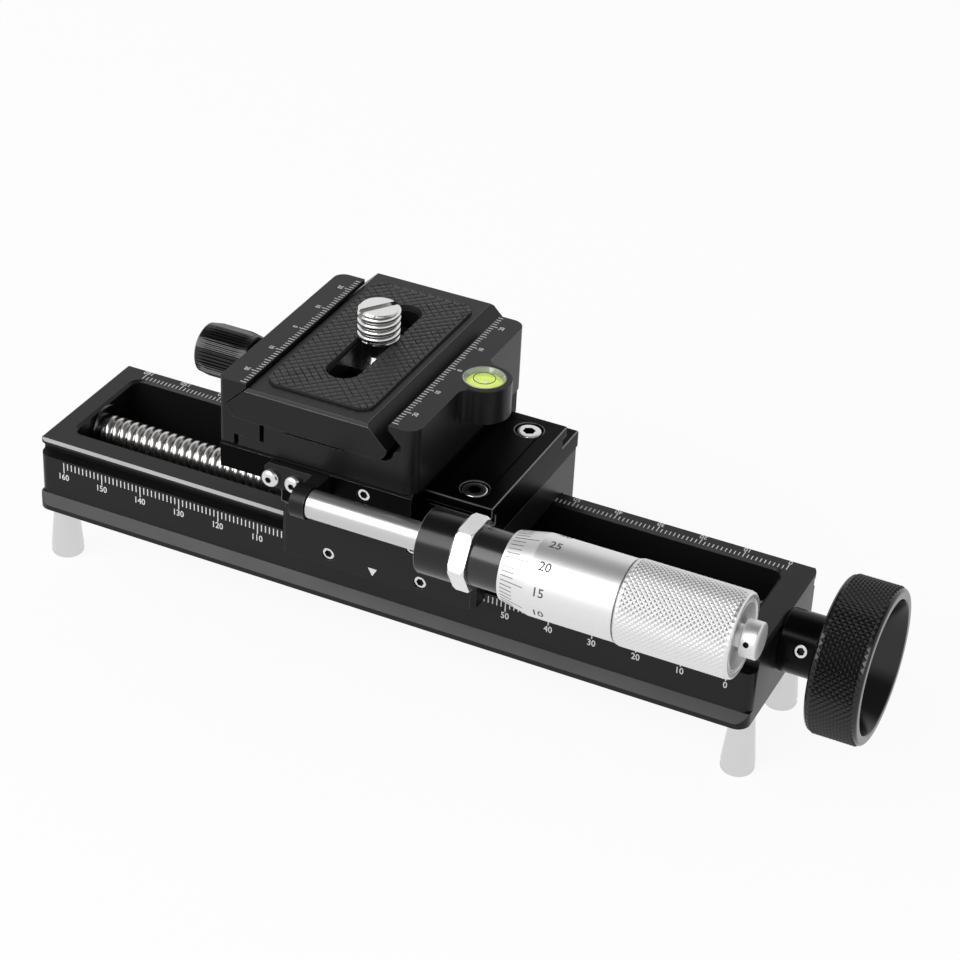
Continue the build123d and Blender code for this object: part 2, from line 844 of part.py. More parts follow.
# Thimble: a cup over the sleeve with a bevelled edge and a dished end
bevel_end = thimble_left + bevel_length
end_floor = thimble_end - end_cone_depth
with BuildPart() as thimble:
    turned(
        micrometer_line,
        [
            (thimble_left, bevel_end, thimble_edge_radius, thimble_radius),
            (bevel_end, grip_left, thimble_radius, thimble_radius),
            (grip_left, thimble_end, grip_inner_radius, grip_inner_radius),
        ],
    )
    turned(
        micrometer_line,
        [(thimble_left, thimble_inner_end, thimble_bore, thimble_bore)],
        mode=Mode.SUBTRACT,
    )
    turned(
        micrometer_line,
        [(end_floor, thimble_end, end_cone_floor_radius, end_cone_rim_radius)],
        mode=Mode.SUBTRACT,
    )
    bores(
        Plane.YZ.offset(thimble_inner_end + spindle_pin_length + fixed_gap),
        micrometer_center,
        spindle_pin_radius + run_gap,
        rail_length,
    )
    bores(
        Plane.YZ.offset(end_floor),
        micrometer_center,
        stop_neck_radius + run_gap,
        stop_neck_depth + fixed_gap,
    )
save(thimble, "thimble")

# Grip: the knurled sleeve on the thimble
with BuildPart() as thimble_grip:
    turned(
        micrometer_line,
        [
            (grip_left, grip_left + grip_chamfer, grip_radius - grip_chamfer, grip_radius),
            (grip_left + grip_chamfer, thimble_end - grip_chamfer, grip_radius, grip_radius),
            (thimble_end - grip_chamfer, thimble_end, grip_radius, grip_radius - grip_chamfer),
        ],
    )
    bores(
        Plane.YZ.offset(thimble_end),
        micrometer_center,
        grip_inner_radius + fixed_gap,
        thimble_end - grip_left,
    )
save(thimble_grip, "thimble_grip")

# Ratchet stop: a small knob that turns in the thimble's end
stop_end = stop_left + stop_length
with BuildPart() as ratchet_stop:
    turned(
        micrometer_line,
        [
            (end_floor - stop_neck_depth, stop_left, stop_neck_radius, stop_neck_radius),
            (stop_left, stop_end, stop_radius, stop_radius),
        ],
    )
    rims = ratchet_stop.edges().filter_by(GeomType.CIRCLE).group_by(SortBy.RADIUS)[-1]
    fillet(rims, stop_round)
    turned(
        micrometer_line,
        [(stop_end - stop_dimple_depth, stop_end, 0, stop_dimple_radius)],
        mode=Mode.SUBTRACT,
    )
save(ratchet_stop, "ratchet_stop")

# Clamp base: screwed on the fine slide, with the fixed jaw and the level's ear
clamp_length = clamp_back - clamp_front
clamp_back_plane = Plane.XZ.offset(-clamp_back)
groove_drop_right = groove_wall_right - jaw_edge_right
base_section = [
    (tongue_left, slide_top),
    (clamp_right, slide_top),
    (clamp_right, clamp_top),
    (jaw_edge_right, clamp_top),
    (jaw_edge_right, clamp_top - jaw_edge_land),
    (groove_wall_right, clamp_top - jaw_edge_land - groove_drop_right),
    (groove_wall_right, channel_floor + shelf_height + shelf_rise),
    (shelf_left, channel_floor + shelf_height),
    (shelf_left, channel_floor),
    (base_left, channel_floor),
    (base_left, tongue_top),
    (tongue_left, tongue_top),
]
bolt_center = [(0, bolt_z)]
pin_places = [(-pin_y, bolt_z), (pin_y, bolt_z)]
bolt_end = base_left + bolt_engagement
with BuildPart() as clamp_base:
    with BuildSketch(clamp_back_plane) as section:
        with BuildLine():
            Polyline(*base_section, close=True)
        make_face()
        shelf_foot = section.vertices().sort_by_distance((shelf_left, channel_floor))[0]
        fillet(shelf_foot, shelf_height - fixed_gap)
    extrude(amount=clamp_length)
    uprights = clamp_base.edges().filter_by(Axis.Z).group_by(Axis.X)[-1]
    fillet(uprights, clamp_corner)
    with BuildSketch(Plane.XY.offset(ear_bottom)) as ear:
        with Locations((level_x, level_y)):
            Circle(ear_outer_radius)
        with Locations((clamp_right, level_y)):
            Rectangle(
                groove_wall_right - clamp_right,
                2 * (ear_outer_radius + 2 * ear_blend),
                align=(Align.MAX, Align.CENTER),
            )
        seams = ear.vertices().filter_by_position(
            Axis.Y, level_y - ear_outer_radius, level_y + ear_outer_radius
        )
        fillet(seams, ear_blend)
    extrude(amount=clamp_top - ear_bottom)
    bores(Plane.XY.offset(clamp_top), [(level_x, level_y)], level_radius + fixed_gap, level_depth)
    with BuildSketch(Plane.XY.offset(channel_floor)):
        with Locations((relief_left, (clamp_front + clamp_back) / 2)):
            Rectangle(
                relief_right - relief_left, clamp_length, align=(Align.MIN, Align.CENTER)
            )
    extrude(amount=-relief_depth, mode=Mode.SUBTRACT)
    with Locations(Plane.XY.offset(screw_seat)):
        with Locations(*clamp_screw_places):
            CounterBoreHole(m3_radius + fixed_gap, m3_bore_radius, m3_bore_depth)
    bores(Plane.XY.offset(channel_floor), clamp_screw_places, m3_bore_radius, relief_depth)
    base_face = Plane.YZ.offset(base_left + pin_base_length + fixed_gap)
    bores(base_face, pin_places, pin_radius + fixed_gap, pin_base_length + fixed_gap)
    bolt_bore_end = bolt_end + jaw_gap + fixed_gap
    bores(
        Plane.YZ.offset(bolt_bore_end),
        bolt_center,
        bolt_radius + run_gap,
        bolt_bore_end - base_left,
    )
save(clamp_base, "clamp_base")
cap_screws("clamp_screws", Plane.XY.offset(screw_seat), clamp_screw_places, clamp_screw_depth)

# Bubble level: a round vial set flush in the ear, slightly domed
with BuildPart() as bubble_level:
    turned(
        along_z(level_x, level_y, 1),
        [
            (clamp_top - level_depth, clamp_top, level_radius, level_radius),
            (clamp_top, clamp_top + level_dome, level_radius, level_radius - level_dome),
        ],
    )
save(bubble_level, "bubble_level")

# Guide pins: fixed in the base, the moving jaw slides on them
with BuildPart() as guide_pins:
    with BuildSketch(Plane.YZ.offset(jaw_right - pin_jaw_length)):
        with Locations(*pin_places):
            Circle(pin_radius)
    extrude(amount=base_left + pin_base_length - jaw_right + pin_jaw_length)
save(guide_pins, "guide_pins")

# Moving jaw: an L-shaped block over the base's tongue
groove_drop_left = jaw_edge_left - groove_wall_left
jaw_bottom = slide_top + slide_gap
jaw_underside = tongue_top + slide_gap
jaw_section = [
    (clamp_left, jaw_bottom),
    (clamp_left + jaw_foot, jaw_bottom),
    (clamp_left + jaw_foot, jaw_underside),
    (jaw_right, jaw_underside),
    (jaw_right, channel_floor),
    (groove_wall_left, channel_floor),
    (groove_wall_left, clamp_top - jaw_edge_land - groove_drop_left),
    (jaw_edge_left, clamp_top - jaw_edge_land),
    (jaw_edge_left, clamp_top),
    (clamp_left, clamp_top),
]
with BuildPart() as clamp_jaw:
    with BuildSketch(clamp_back_plane) as section:
        with BuildLine():
            Polyline(*jaw_section, close=True)
        make_face()
        fillet(
            section.vertices().sort_by_distance((groove_wall_left, channel_floor))[0],
            plate_round + slide_gap,
        )
    extrude(amount=clamp_length)
    uprights = clamp_jaw.edges().filter_by(Axis.Z).group_by(Axis.X)[0].sort_by(Axis.Y)
    fillet(uprights[0], jaw_corner_front)
    fillet(uprights[-1], jaw_corner_back)
    pin_bore_depth = pin_jaw_length + jaw_gap + free_gap
    bores(Plane.YZ.offset(jaw_right), pin_places, pin_radius + run_gap, pin_bore_depth)
    bores(Plane.YZ.offset(jaw_right), bolt_center, bolt_radius + bolt_slack, jaw_right - clamp_left)
save(clamp_jaw, "clamp_jaw")

# Clamp bolt and knob: the bolt passes through the jaw into the base
bolt_line = along_x(0, bolt_z)
knob_right = clamp_left - slide_gap
knob_grip_end = knob_right - knob_neck_length
knob_left = knob_grip_end - knob_length
with BuildPart() as clamp_bolt:
    turned(bolt_line, [(knob_grip_end, bolt_end, bolt_radius, bolt_radius)])
save(clamp_bolt, "clamp_bolt")

with BuildPart() as clamp_knob:
    turned(
        bolt_line,
        [
            (knob_left, knob_left + knob_chamfer, knob_radius - knob_chamfer, knob_radius),
            (knob_left + knob_chamfer, knob_grip_end - knob_chamfer, knob_radius, knob_radius),
            (knob_grip_end - knob_chamfer, knob_grip_end, knob_radius, knob_radius - knob_chamfer),
            (knob_grip_end, knob_right, knob_neck_radius, knob_neck_radius),
        ],
    )
    bores(
        Plane.YZ.offset(knob_right),
        bolt_center,
        bolt_radius + fixed_gap,
        knob_right - knob_grip_end,
    )
save(clamp_knob, "clamp_knob")

# Quick-release plate: a dovetail with a slot, recessed below for the screw's retainer
plate_back = plate_front + plate_length
camera_slot = [(plate_center_x, slot_middle)]
with BuildPart() as quick_release_plate:
    with BuildSketch(Plane.XZ.offset(-plate_back)) as section:
        with BuildLine():
            Polyline(
                (plate_center_x - plate_half, plate_bottom),
                (plate_center_x + plate_half, plate_bottom),
                (plate_center_x + plate_half, flank_bottom),
                (plate_center_x + top_half, plate_top),
                (plate_center_x - top_half, plate_top),
                (plate_center_x - plate_half, flank_bottom),
                close=True,
            )
        make_face()
        fillet(section.vertices().group_by(Axis.Y)[0], plate_round)
    extrude(amount=plate_length)
    top_ends = quick_release_plate.edges().filter_by(Axis.X).group_by(Axis.Z)[-1]
    chamfer(top_ends, plate_chamfer)
    with BuildSketch(Plane.XY.offset(plate_bottom)):
        with Locations(*camera_slot):
            SlotOverall(slot_length, camera_slot_width, rotation=90)
    extrude(amount=plate_top - plate_bottom, mode=Mode.SUBTRACT)
    with BuildSketch(Plane.XY.offset(plate_bottom)):
        with Locations(*camera_slot):
            Rectangle(recess_width, slot_length + 2 * recess_margin)
    extrude(amount=recess_depth, mode=Mode.SUBTRACT)
    with BuildSketch(Plane.XY.offset(pad_bottom)):
        with Locations((plate_center_x, pad_front + pad_length / 2)):
            RectangleRounded(
                pad_width + 2 * fixed_gap, pad_length + 2 * fixed_gap, pad_corner
            )
    extrude(amount=pad_sink, mode=Mode.SUBTRACT)
save(quick_release_plate, "quick_release_plate")

with BuildPart() as plate_pad:
    with BuildSketch(Plane.XY.offset(pad_bottom)):
        with Locations((plate_center_x, pad_front + pad_length / 2)):
            RectangleRounded(pad_width, pad_length, pad_corner)
        with Locations(*camera_slot):
            SlotOverall(
                slot_length + 2 * pad_slot_margin,
                camera_slot_width + 2 * pad_slot_margin,
                rotation=90,
                mode=Mode.SUBTRACT,
            )
    extrude(amount=pad_top - pad_bottom)
save(plate_pad, "plate_pad")

# Camera screw: turns in a retainer that slides along the slot in the plate's recess
camera_line = along_z(plate_center_x, camera_screw_y, 1)
camera_center = [(plate_center_x, camera_screw_y)]
with BuildPart() as screw_retainer:
    with BuildSketch(Plane.XY.offset(retainer_bottom)):
        with Locations(*camera_center):
            Rectangle(recess_width - 2 * retainer_side_gap, retainer_length)
            Circle(camera_neck_radius + run_gap, mode=Mode.SUBTRACT)
    extrude(amount=retainer_height)
save(screw_retainer, "screw_retainer")

with BuildPart() as camera_screw:
    turned(
        camera_line,
        [
            (flange_bottom, flange_top, camera_flange_radius, camera_flange_radius),
            (flange_top, camera_thread_bottom, camera_neck_radius, camera_neck_radius),
            (
                camera_thread_bottom,
                camera_thread_bottom + camera_thread_chamfer,
                camera_thread_radius - camera_thread_chamfer,
                camera_thread_radius,
            ),
            (
                camera_thread_bottom + camera_thread_chamfer,
                camera_thread_top - camera_thread_chamfer,
                camera_thread_radius,
                camera_thread_radius,
            ),
            (
                camera_thread_top - camera_thread_chamfer,
                camera_thread_top,
                camera_thread_radius,
                camera_thread_radius - camera_thread_chamfer,
            ),
        ],
    )
    with BuildSketch(Plane.XY.offset(camera_thread_top)):
        with Locations(*camera_center):
            Rectangle(
                2 * camera_thread_radius, camera_driver_width, rotation=camera_driver_angle
            )
    extrude(amount=-camera_driver_depth, mode=Mode.SUBTRACT)
save(camera_screw, "camera_screw")
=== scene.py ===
# %% [markdown]
# # Dressing a macro focus rail
#
# The rail, its slides and its micrometer arrive as a fixed model, in metres. This notebook
# gives every surface its finish, makes the threads, knurls, scales and screws, and sets the
# camera and the studio. Nothing here moves or resizes what arrived.

# %% The fixed model
from math import atan2, cos, pi, radians, sin, sqrt

import bmesh
import bpy
from mathutils import Matrix, Vector


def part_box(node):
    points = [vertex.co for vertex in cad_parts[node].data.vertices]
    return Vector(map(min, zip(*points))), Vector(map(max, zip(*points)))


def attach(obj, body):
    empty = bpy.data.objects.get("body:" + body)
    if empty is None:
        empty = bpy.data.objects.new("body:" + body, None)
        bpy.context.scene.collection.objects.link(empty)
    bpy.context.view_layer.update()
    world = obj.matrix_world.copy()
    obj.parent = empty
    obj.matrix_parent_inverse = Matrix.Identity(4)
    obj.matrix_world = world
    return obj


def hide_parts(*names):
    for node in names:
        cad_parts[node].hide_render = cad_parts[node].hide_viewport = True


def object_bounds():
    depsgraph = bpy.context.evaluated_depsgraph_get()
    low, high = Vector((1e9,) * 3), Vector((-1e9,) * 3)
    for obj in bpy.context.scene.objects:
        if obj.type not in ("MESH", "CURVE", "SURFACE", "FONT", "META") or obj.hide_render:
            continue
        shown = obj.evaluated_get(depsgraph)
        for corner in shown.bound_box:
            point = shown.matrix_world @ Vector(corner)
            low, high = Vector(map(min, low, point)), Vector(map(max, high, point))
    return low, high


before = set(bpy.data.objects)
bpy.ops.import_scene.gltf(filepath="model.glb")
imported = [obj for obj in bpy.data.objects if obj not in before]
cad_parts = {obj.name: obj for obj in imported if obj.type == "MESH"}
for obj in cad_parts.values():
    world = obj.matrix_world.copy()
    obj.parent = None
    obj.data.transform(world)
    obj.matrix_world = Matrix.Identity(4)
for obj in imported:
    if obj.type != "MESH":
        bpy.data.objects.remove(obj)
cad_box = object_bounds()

mm = 0.001

# %% [markdown]
# ## The camera
#
# The photograph was taken with a long lens from the front right, tilted a little. The angles
# and the place below were worked out from the rail's own millimetre scale, so a piece that
# has the right size also lands on the right spot of the picture.

# %% Camera
azimuth, elevation, roll = radians(24.164), radians(32.489), radians(-2.963)
camera_place = Vector((214.66, -446.31, 338.94)) * mm
image_width = 960
focal_pixels = 2696.05

forward = Vector((-sin(azimuth) * cos(elevation), cos(azimuth) * cos(elevation), -sin(elevation)))
level_right = Vector((cos(azimuth), sin(azimuth), 0))
level_down = forward.cross(level_right)
right = level_right * cos(roll) + level_down * sin(roll)
down = level_down * cos(roll) - level_right * sin(roll)

camera_data = bpy.data.cameras.new("camera")
camera = bpy.data.objects.new("camera", camera_data)
bpy.context.scene.collection.objects.link(camera)
camera_data.sensor_width = 36
camera_data.lens = focal_pixels / image_width * camera_data.sensor_width
camera_data.clip_start, camera_data.clip_end = 0.01, 10
turn = Matrix((right, -down, -forward)).transposed().to_4x4()
camera.matrix_world = Matrix.Translation(camera_place) @ turn
bpy.context.scene.camera = camera
print("lens", round(camera_data.lens, 1), "mm")

# %% [markdown]
# ## Finishes made of nodes
#
# A finish is a Principled shader with a few nodes that vary its colour, its roughness and its
# fine relief. A small class wraps a socket, so that `grain * 0.3 + 0.2` adds the Math nodes
# by itself, and one method makes any other node. Patterns read Object coordinates, so they
# stay on a part when it moves.


# %% Sums on sockets
class Wire:
    """The output of a node, ready to be added or multiplied."""

    def __init__(self, finish, socket):
        self.finish, self.socket = finish, socket

    def maths(self, operation, *values):
        return self.finish.node("Math", {"operation": operation}, dict(enumerate(values)))

    def __add__(self, other):
        return self.maths("ADD", self, other)

    def __mul__(self, other):
        return self.maths("MULTIPLY", self, other)

    __radd__ = __add__
    __rmul__ = __mul__


class Finish:
    """A material with one Principled shader."""

    def __init__(self, name, color, roughness, metallic=0.0, **constants):
        self.material = bpy.data.materials.new(name)
        self.material.use_nodes = True
        self.nodes, self.links = self.material.node_tree.nodes, self.material.node_tree.links
        self.shader = self.nodes["Principled BSDF"]
        self.color = (*color, 1.0)
        self.shader.inputs["Base Color"].default_value = self.color
        self.shader.inputs["Roughness"].default_value = roughness
        self.shader.inputs["Metallic"].default_value = metallic
        for socket, value in constants.items():
            self.shader.inputs[socket.replace("_", " ")].default_value = value

    def node(self, kind, settings, values, output=0):
        made = self.nodes.new("ShaderNode" + kind)
        for setting, value in settings.items():
            setattr(made, setting, value)
        for place, value in values.items():
            if isinstance(value, Wire):
                self.links.new(value.socket, made.inputs[place])
            else:
                made.inputs[place].default_value = value
        return Wire(self, made.outputs[output])

    def feed(self, socket, wire):
        self.links.new(wire.socket, self.shader.inputs[socket])

    def place(self, scale=(1, 1, 1)):
        """Object coordinates, stretched."""
        where = self.node("TexCoord", {}, {}, "Object")
        return self.node("Mapping", {}, {"Vector": where, "Scale": scale})

    def noise(self, scale, detail=2.0, where=None):
        values = {"Scale": scale, "Detail": detail, "Vector": where or self.place()}
        return self.node("TexNoise", {}, values, 0)

    def tint(self, amount, other):
        """Mixes the finish's own colour with another by a wire."""
        mixed = self.node(
            "Mix",
            {"data_type": "RGBA", "blend_type": "MIX"},
            {"Factor": amount, 6: self.color, 7: (*other, 1.0)},
            2,
        )
        self.feed("Base Color", mixed)

    def relief(self, height, depth):
        values = {"Strength": 1.0, "Distance": depth, "Height": height}
        self.feed("Normal", self.node("Bump", {}, values, 0))


# %% [markdown]
# ## Black anodised aluminium
#
# The black parts are milled, blasted with fine beads and anodised. Up close that is a fine
# grain that spreads the light, with soft patches where the blasting was stronger. A fine
# noise gives the relief, and a large one shifts the roughness a little. How much a black part
# mirrors depends on its index of refraction: low for the darkest blacks, higher for the
# polished ones, and highest on the edges. The slide and its track, which lie in shade under
# the clamp, get a darker black, a painted shade; the edges and the flare get lighter blacks,
# a painted highlight.


# %% Black finishes
def black_finish(name, color, roughness, grain, patch, ior):
    """A dielectric black: grain is the noise's scale, patch how far the roughness wanders."""
    finish = Finish(name, color, roughness, IOR=ior)
    fine_share, patch_scale, lighter, grain_depth = 0.08, 60.0, 1.7, 0.004
    fine = finish.noise(grain, 3.0)
    large = finish.noise(patch_scale, 2.0)
    lowest = roughness - patch / 2 - fine_share / 2
    finish.feed("Roughness", large * patch + fine * fine_share + lowest)
    finish.tint(fine * 0.5, tuple(c * lighter for c in color))
    finish.relief(fine, grain_depth * mm)
    return finish


anodised = black_finish("black_anodised", (0.005, 0.005, 0.0055), 0.34, 5200.0, 0.07, 1.3)
# A darker black for the slide and its track: painted shade, for they lie under the clamp.
shade_painted_black = black_finish("black_painted_shade", (0.0008, 0.0008, 0.001), 0.3, 4600.0, 0.05, 1.11)
# A lighter black that mirrors more, for the bevelled edges: a painted highlight.
edge_painted_highlight = black_finish("black_edge_painted_highlight", (0.045, 0.045, 0.046), 0.36, 4000.0, 0.1, 2.1)
gloss_black = black_finish("black_gloss", (0.0035, 0.0035, 0.004), 0.2, 3000.0, 0.04, 1.56)
ring_black = black_finish("black_ring", (0.0015, 0.0015, 0.002), 0.2, 3000.0, 0.04, 1.43)
hub_black = black_finish("black_hub", (0.001, 0.001, 0.0012), 0.2, 3000.0, 0.04, 1.18)
knurl_black = black_finish("black_knurled", (0.002, 0.002, 0.0025), 0.18, 4200.0, 0.03, 1.48)
# A lighter black for the rail's flare, which faces up and catches the light: a painted highlight.
flare_painted_highlight = black_finish("black_flare_painted_highlight", (0.012, 0.012, 0.0125), 0.42, 2600.0, 0.12, 1.42)
print("black finishes:", anodised.material.name, gloss_black.material.name)

# %% [markdown]
# ## Bright metals
#
# Turned metal shows fine rings round its axis. Noise that is stretched round the axis makes
# them: on a shaft along X the pattern changes fast along X and slowly across it. Small bright
# screws get no relief, because on them a relief turns into glitter.


# %% Metal finishes
def metal_finish(name, color, roughness, rings, depth, contrast=0.12):
    """A bare metal: rings stretches the noise, depth is its relief in millimetres."""
    finish = Finish(name, color, roughness, 1.0)
    line_scale, darker = 400.0, 0.82
    lines = finish.noise(line_scale, 4.0, finish.place(scale=rings))
    finish.feed("Roughness", lines * contrast + (roughness - contrast / 2))
    finish.tint(lines * 0.4, tuple(c * darker for c in color))
    if depth:
        finish.relief(lines, depth * mm)
    return finish


along_x_rings = (14, 0.6, 0.6)
along_z_rings = (0.6, 0.6, 14)
satin = metal_finish("satin_aluminium", (0.78, 0.78, 0.785), 0.42, along_x_rings, 0.0008)
knurl_silver = metal_finish("knurled_aluminium", (0.78, 0.78, 0.785), 0.38, (3, 3, 3), 0.001)
chrome = metal_finish("ground_steel", (0.6, 0.6, 0.61), 0.3, along_x_rings, 0.0003, 0.08)
nut_steel = metal_finish("nickel_plate", (0.8, 0.8, 0.805), 0.28, (2, 2, 2), 0.0008)
screw_steel = metal_finish("screw_steel", (0.6, 0.59, 0.58), 0.25, along_x_rings, 0, 0.05)
camera_steel = metal_finish("camera_screw_steel", (0.74, 0.735, 0.73), 0.15, along_z_rings, 0, 0.05)
foot_steel = metal_finish("foot_aluminium", (0.68, 0.68, 0.685), 0.24, along_z_rings, 0, 0.06)
fastener_steel = metal_finish("fastener_steel", (0.72, 0.72, 0.72), 0.2, (3, 3, 3), 0, 0.06)
brass = metal_finish("machined_brass", (0.72, 0.53, 0.26), 0.3, along_x_rings, 0.001)

# %% [markdown]
# ## Print, rubber and the level's liquid
#
# Scales and numbers are white ink, a little uneven, and the thimble's lines are engraved and
# dark. The pad is matt rubber with a fine grain.
# The level has a clear cap and a sloping green wall over yellow-green liquid, which glows a
# little, because in the real one light comes through from every side.

# %% Other finishes
ink = Finish("white_ink", (0.62, 0.62, 0.6), 0.55)
ink.tint(ink.noise(9000.0, 2.0) * 0.5, (0.42, 0.42, 0.41))
engraved = Finish("engraved_grey", (0.035, 0.035, 0.037), 0.6)
engraved.tint(engraved.noise(8000.0, 2.0), (0.09, 0.09, 0.09))
# A near black: painted shade inside sockets and the spanner hole, and the level's black ring and
# printed circle.
hollow_shade_and_black = Finish("hollow_shade_and_black", (0.01, 0.01, 0.01), 0.6)
hollow_shade_and_black.tint(hollow_shade_and_black.noise(2000.0, 2.0), (0.02, 0.02, 0.02))

rubber = Finish("pad_rubber", (0.012, 0.012, 0.0125), 0.5)
rubber.tint(rubber.noise(3000.0, 3.0), (0.022, 0.022, 0.023))
rubber.relief(rubber.noise(6000.0, 3.0), 0.01 * mm)
liquid = Finish("level_liquid", (0.62, 0.78, 0.03), 0.18, Coat_Weight=1.0, Coat_Roughness=0.02)
liquid.shader.inputs["Emission Color"].default_value = (0.6, 0.75, 0.02, 1)
liquid.shader.inputs["Emission Strength"].default_value = 0.28
liquid.tint(liquid.noise(300.0, 2.0) * 0.5, (0.55, 0.7, 0.02))
bubble_finish = Finish("level_bubble", (0.80, 0.9, 0.4), 0.05, Coat_Weight=1.0)
bubble_finish.tint(bubble_finish.noise(900.0, 2.0) * 0.6, (0.7, 0.8, 0.28))
clear_wall = Finish("level_wall", (0.24, 0.29, 0.2), 0.12, Coat_Weight=1.0)
clear_wall.tint(clear_wall.noise(500.0, 2.0), (0.14, 0.18, 0.1))
clear_cap = Finish("level_cap", (0.9, 0.95, 0.85), 0.03, Alpha=0.05)
clear_cap.tint(clear_cap.noise(500.0, 2.0), (0.8, 0.86, 0.7))
print("finishes:", len(bpy.data.materials))

# %% [markdown]
# ## Dressing the arrived parts
#
# The milled parts arrive with knife-sharp edges, but real edges are broken, and each one
# catches a thin line of light. Weld joins the loose triangles, Bevel breaks the edges and
# gives them a lighter black of their own, which paints that line of light on, Edge Split
# keeps the corners crisp, and Weighted Normal keeps the flat faces flat.


# %% Milled parts
def broken(part, edge):
    """Break the sharp edges of a part, and keep its flat faces flat."""
    if edge:
        bevel = part.modifiers.new("bevel", "BEVEL")
        bevel.width = edge * mm
        bevel.segments = 2
        # The bevels take the second material, the lighter edge black: a painted highlight.
        bevel.material = 1
        bevel.limit_method = "ANGLE"
        bevel.angle_limit = radians(32)
        bevel.use_clamp_overlap = True
    for face in part.data.polygons:
        face.use_smooth = True
    split = part.modifiers.new("split", "EDGE_SPLIT")
    split.split_angle = radians(40)
    part.modifiers.new("normals", "WEIGHTED_NORMAL").keep_sharp = True


def dress(node, finish, edge, edge_finish=None):
    """Give an arrived part its finish and break its sharp edges."""
    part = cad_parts[node]
    part.data.materials.clear()
    part.data.materials.append(finish.material)
    part.data.materials.append((edge_finish or finish).material)
    weld = part.modifiers.new("weld", "WELD")
    weld.merge_threshold = 0.0005 * mm
    broken(part, edge)


milled_edge, fine_edge = 0.22, 0.1
milled = ("saddle", "clamp_base", "clamp_jaw", "stop_bracket", "quick_release_plate")
for node in milled:
    dress(node, anodised, milled_edge, edge_painted_highlight)
for node in ("track_plate", "fine_slide"):
    dress(node, shade_painted_black, milled_edge, edge_painted_highlight)
dress("ring_bracket", ring_black, edge=0.2, edge_finish=edge_painted_highlight)
for node in ("bearing_left", "bearing_right"):
    dress(node, gloss_black, fine_edge)
for node in ("lead_nut", "saddle_gib", "slide_gib"):
    dress(node, brass, edge=0)
for node in ("nut_screws", "clamp_screws", "guide_pins", "clamp_bolt", "screw_retainer"):
    dress(node, fastener_steel, edge=0)
print("dressed parts:", sum(len(part.modifiers) > 0 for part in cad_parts.values()))

# %% [markdown]
# ## Turning, joining and placing
#
# Most of the small pieces are turned, so each starts as a short outline of points along the
# axis and away from it, and Spin carries it round. The points that meet at the seam and on the
# axis are merged, and the normals are worked out again, because Spin can leave a shape inside
# out. Every piece is made round the X axis and then moved to its place in the mesh.


# %% Turning tools
def softened(outline, reach):
    """Round the inner corners of an outline of (along, radius) points."""
    edge_share = 0.45
    points = [Vector(point) for point in outline]
    result = [outline[0]]
    for before, corner, after in zip(points, points[1:], points[2:]):
        back, ahead = before - corner, after - corner
        start = corner + back.normalized() * min(reach, back.length * edge_share)
        end = corner + ahead.normalized() * min(reach, ahead.length * edge_share)
        for t in (0, 1 / 3, 2 / 3, 1):
            result.append(tuple(start * (1 - t) ** 2 + corner * 2 * t * (1 - t) + end * t * t))
    return result + [outline[-1]]


def turned(outline, steps=96):
    """Spin an outline in millimetres about the X axis."""
    shape = bmesh.new()
    verts = [shape.verts.new((along * mm, 0, radius * mm)) for along, radius in outline]
    edges = [shape.edges.new(pair) for pair in zip(verts, verts[1:])]
    bmesh.ops.spin(
        shape, geom=verts + edges, cent=(0, 0, 0), axis=(1, 0, 0),
        angle=2 * pi, steps=steps, use_merge=True,
    )
    bmesh.ops.remove_doubles(shape, verts=shape.verts, dist=0.0005 * mm)
    return shape


def moved(shape, matrix):
    """Apply a matrix to a shape, and hand the shape back."""
    bmesh.ops.transform(shape, matrix=matrix, verts=shape.verts)
    return shape


def joined(first, *others):
    """Put several shapes into the first one."""
    for other in others:
        carrier = bpy.data.meshes.new("carrier")
        other.to_mesh(carrier)
        other.free()
        first.from_mesh(carrier)
        bpy.data.meshes.remove(carrier)
    return first


# %% [markdown]
# Each new piece rides on the body that carries it, and the arrived nodes it stands for are hidden.
# Edges sharper than the given angle stay sharp, and Weighted Normal keeps flat faces flat.


# %% Adding a piece
def add_piece(name, shape, body, finish, stands_for=(), sharp=38, inside=None):
    """Make a piece of a shape, on a body; inside is the finish of its second material."""
    bmesh.ops.recalc_face_normals(shape, faces=shape.faces)
    for face in shape.faces:
        face.smooth = True
    mesh = bpy.data.meshes.new(name)
    shape.to_mesh(mesh)
    shape.free()
    mesh.set_sharp_from_angle(angle=radians(sharp))
    mesh.materials.append(finish.material)
    if inside:
        mesh.materials.append(inside.material)
    piece = bpy.data.objects.new(name, mesh)
    bpy.context.scene.collection.objects.link(piece)
    piece.modifiers.new("normals", "WEIGHTED_NORMAL").keep_sharp = True
    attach(piece, body)
    if stands_for:
        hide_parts(*stands_for)
    print(name, len(mesh.polygons), "faces")


def middle_of(node):
    """The middle of an arrived node, in millimetres."""
    low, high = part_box(node)
    return (Vector(low) + Vector(high)) / 2 / mm


def facing(place, direction):
    """Turns the X axis along a direction, at a place in millimetres."""
    turn = Vector((1, 0, 0)).rotation_difference(Vector(direction)).to_matrix().to_4x4()
    return Matrix.Translation(Vector(place) * mm) @ turn


def upright(x, y):
    """Stands a turned shape on its end, so that its axis points up."""
    return Matrix.Translation((x * mm, y * mm, 0)) @ Matrix.Rotation(-pi / 2, 4, "Y")


shaft_z = 11
shaft = Matrix.Translation((0, 0, shaft_z * mm))
micrometer = Matrix.Translation((0, -34.35 * mm, 33.6 * mm))

# %% [markdown]
# ## The lead screw
#
# A thread is one pitch of its outline that turns and moves along at the same time. Spin does
# both: dvec is the step along the axis. One turn is made and then repeated, because a Spin of
# eighty turns takes long. The start of each turn lies on the end of the one before, so merging
# the doubles closes the helix, and Bisect Plane trims its two ends.


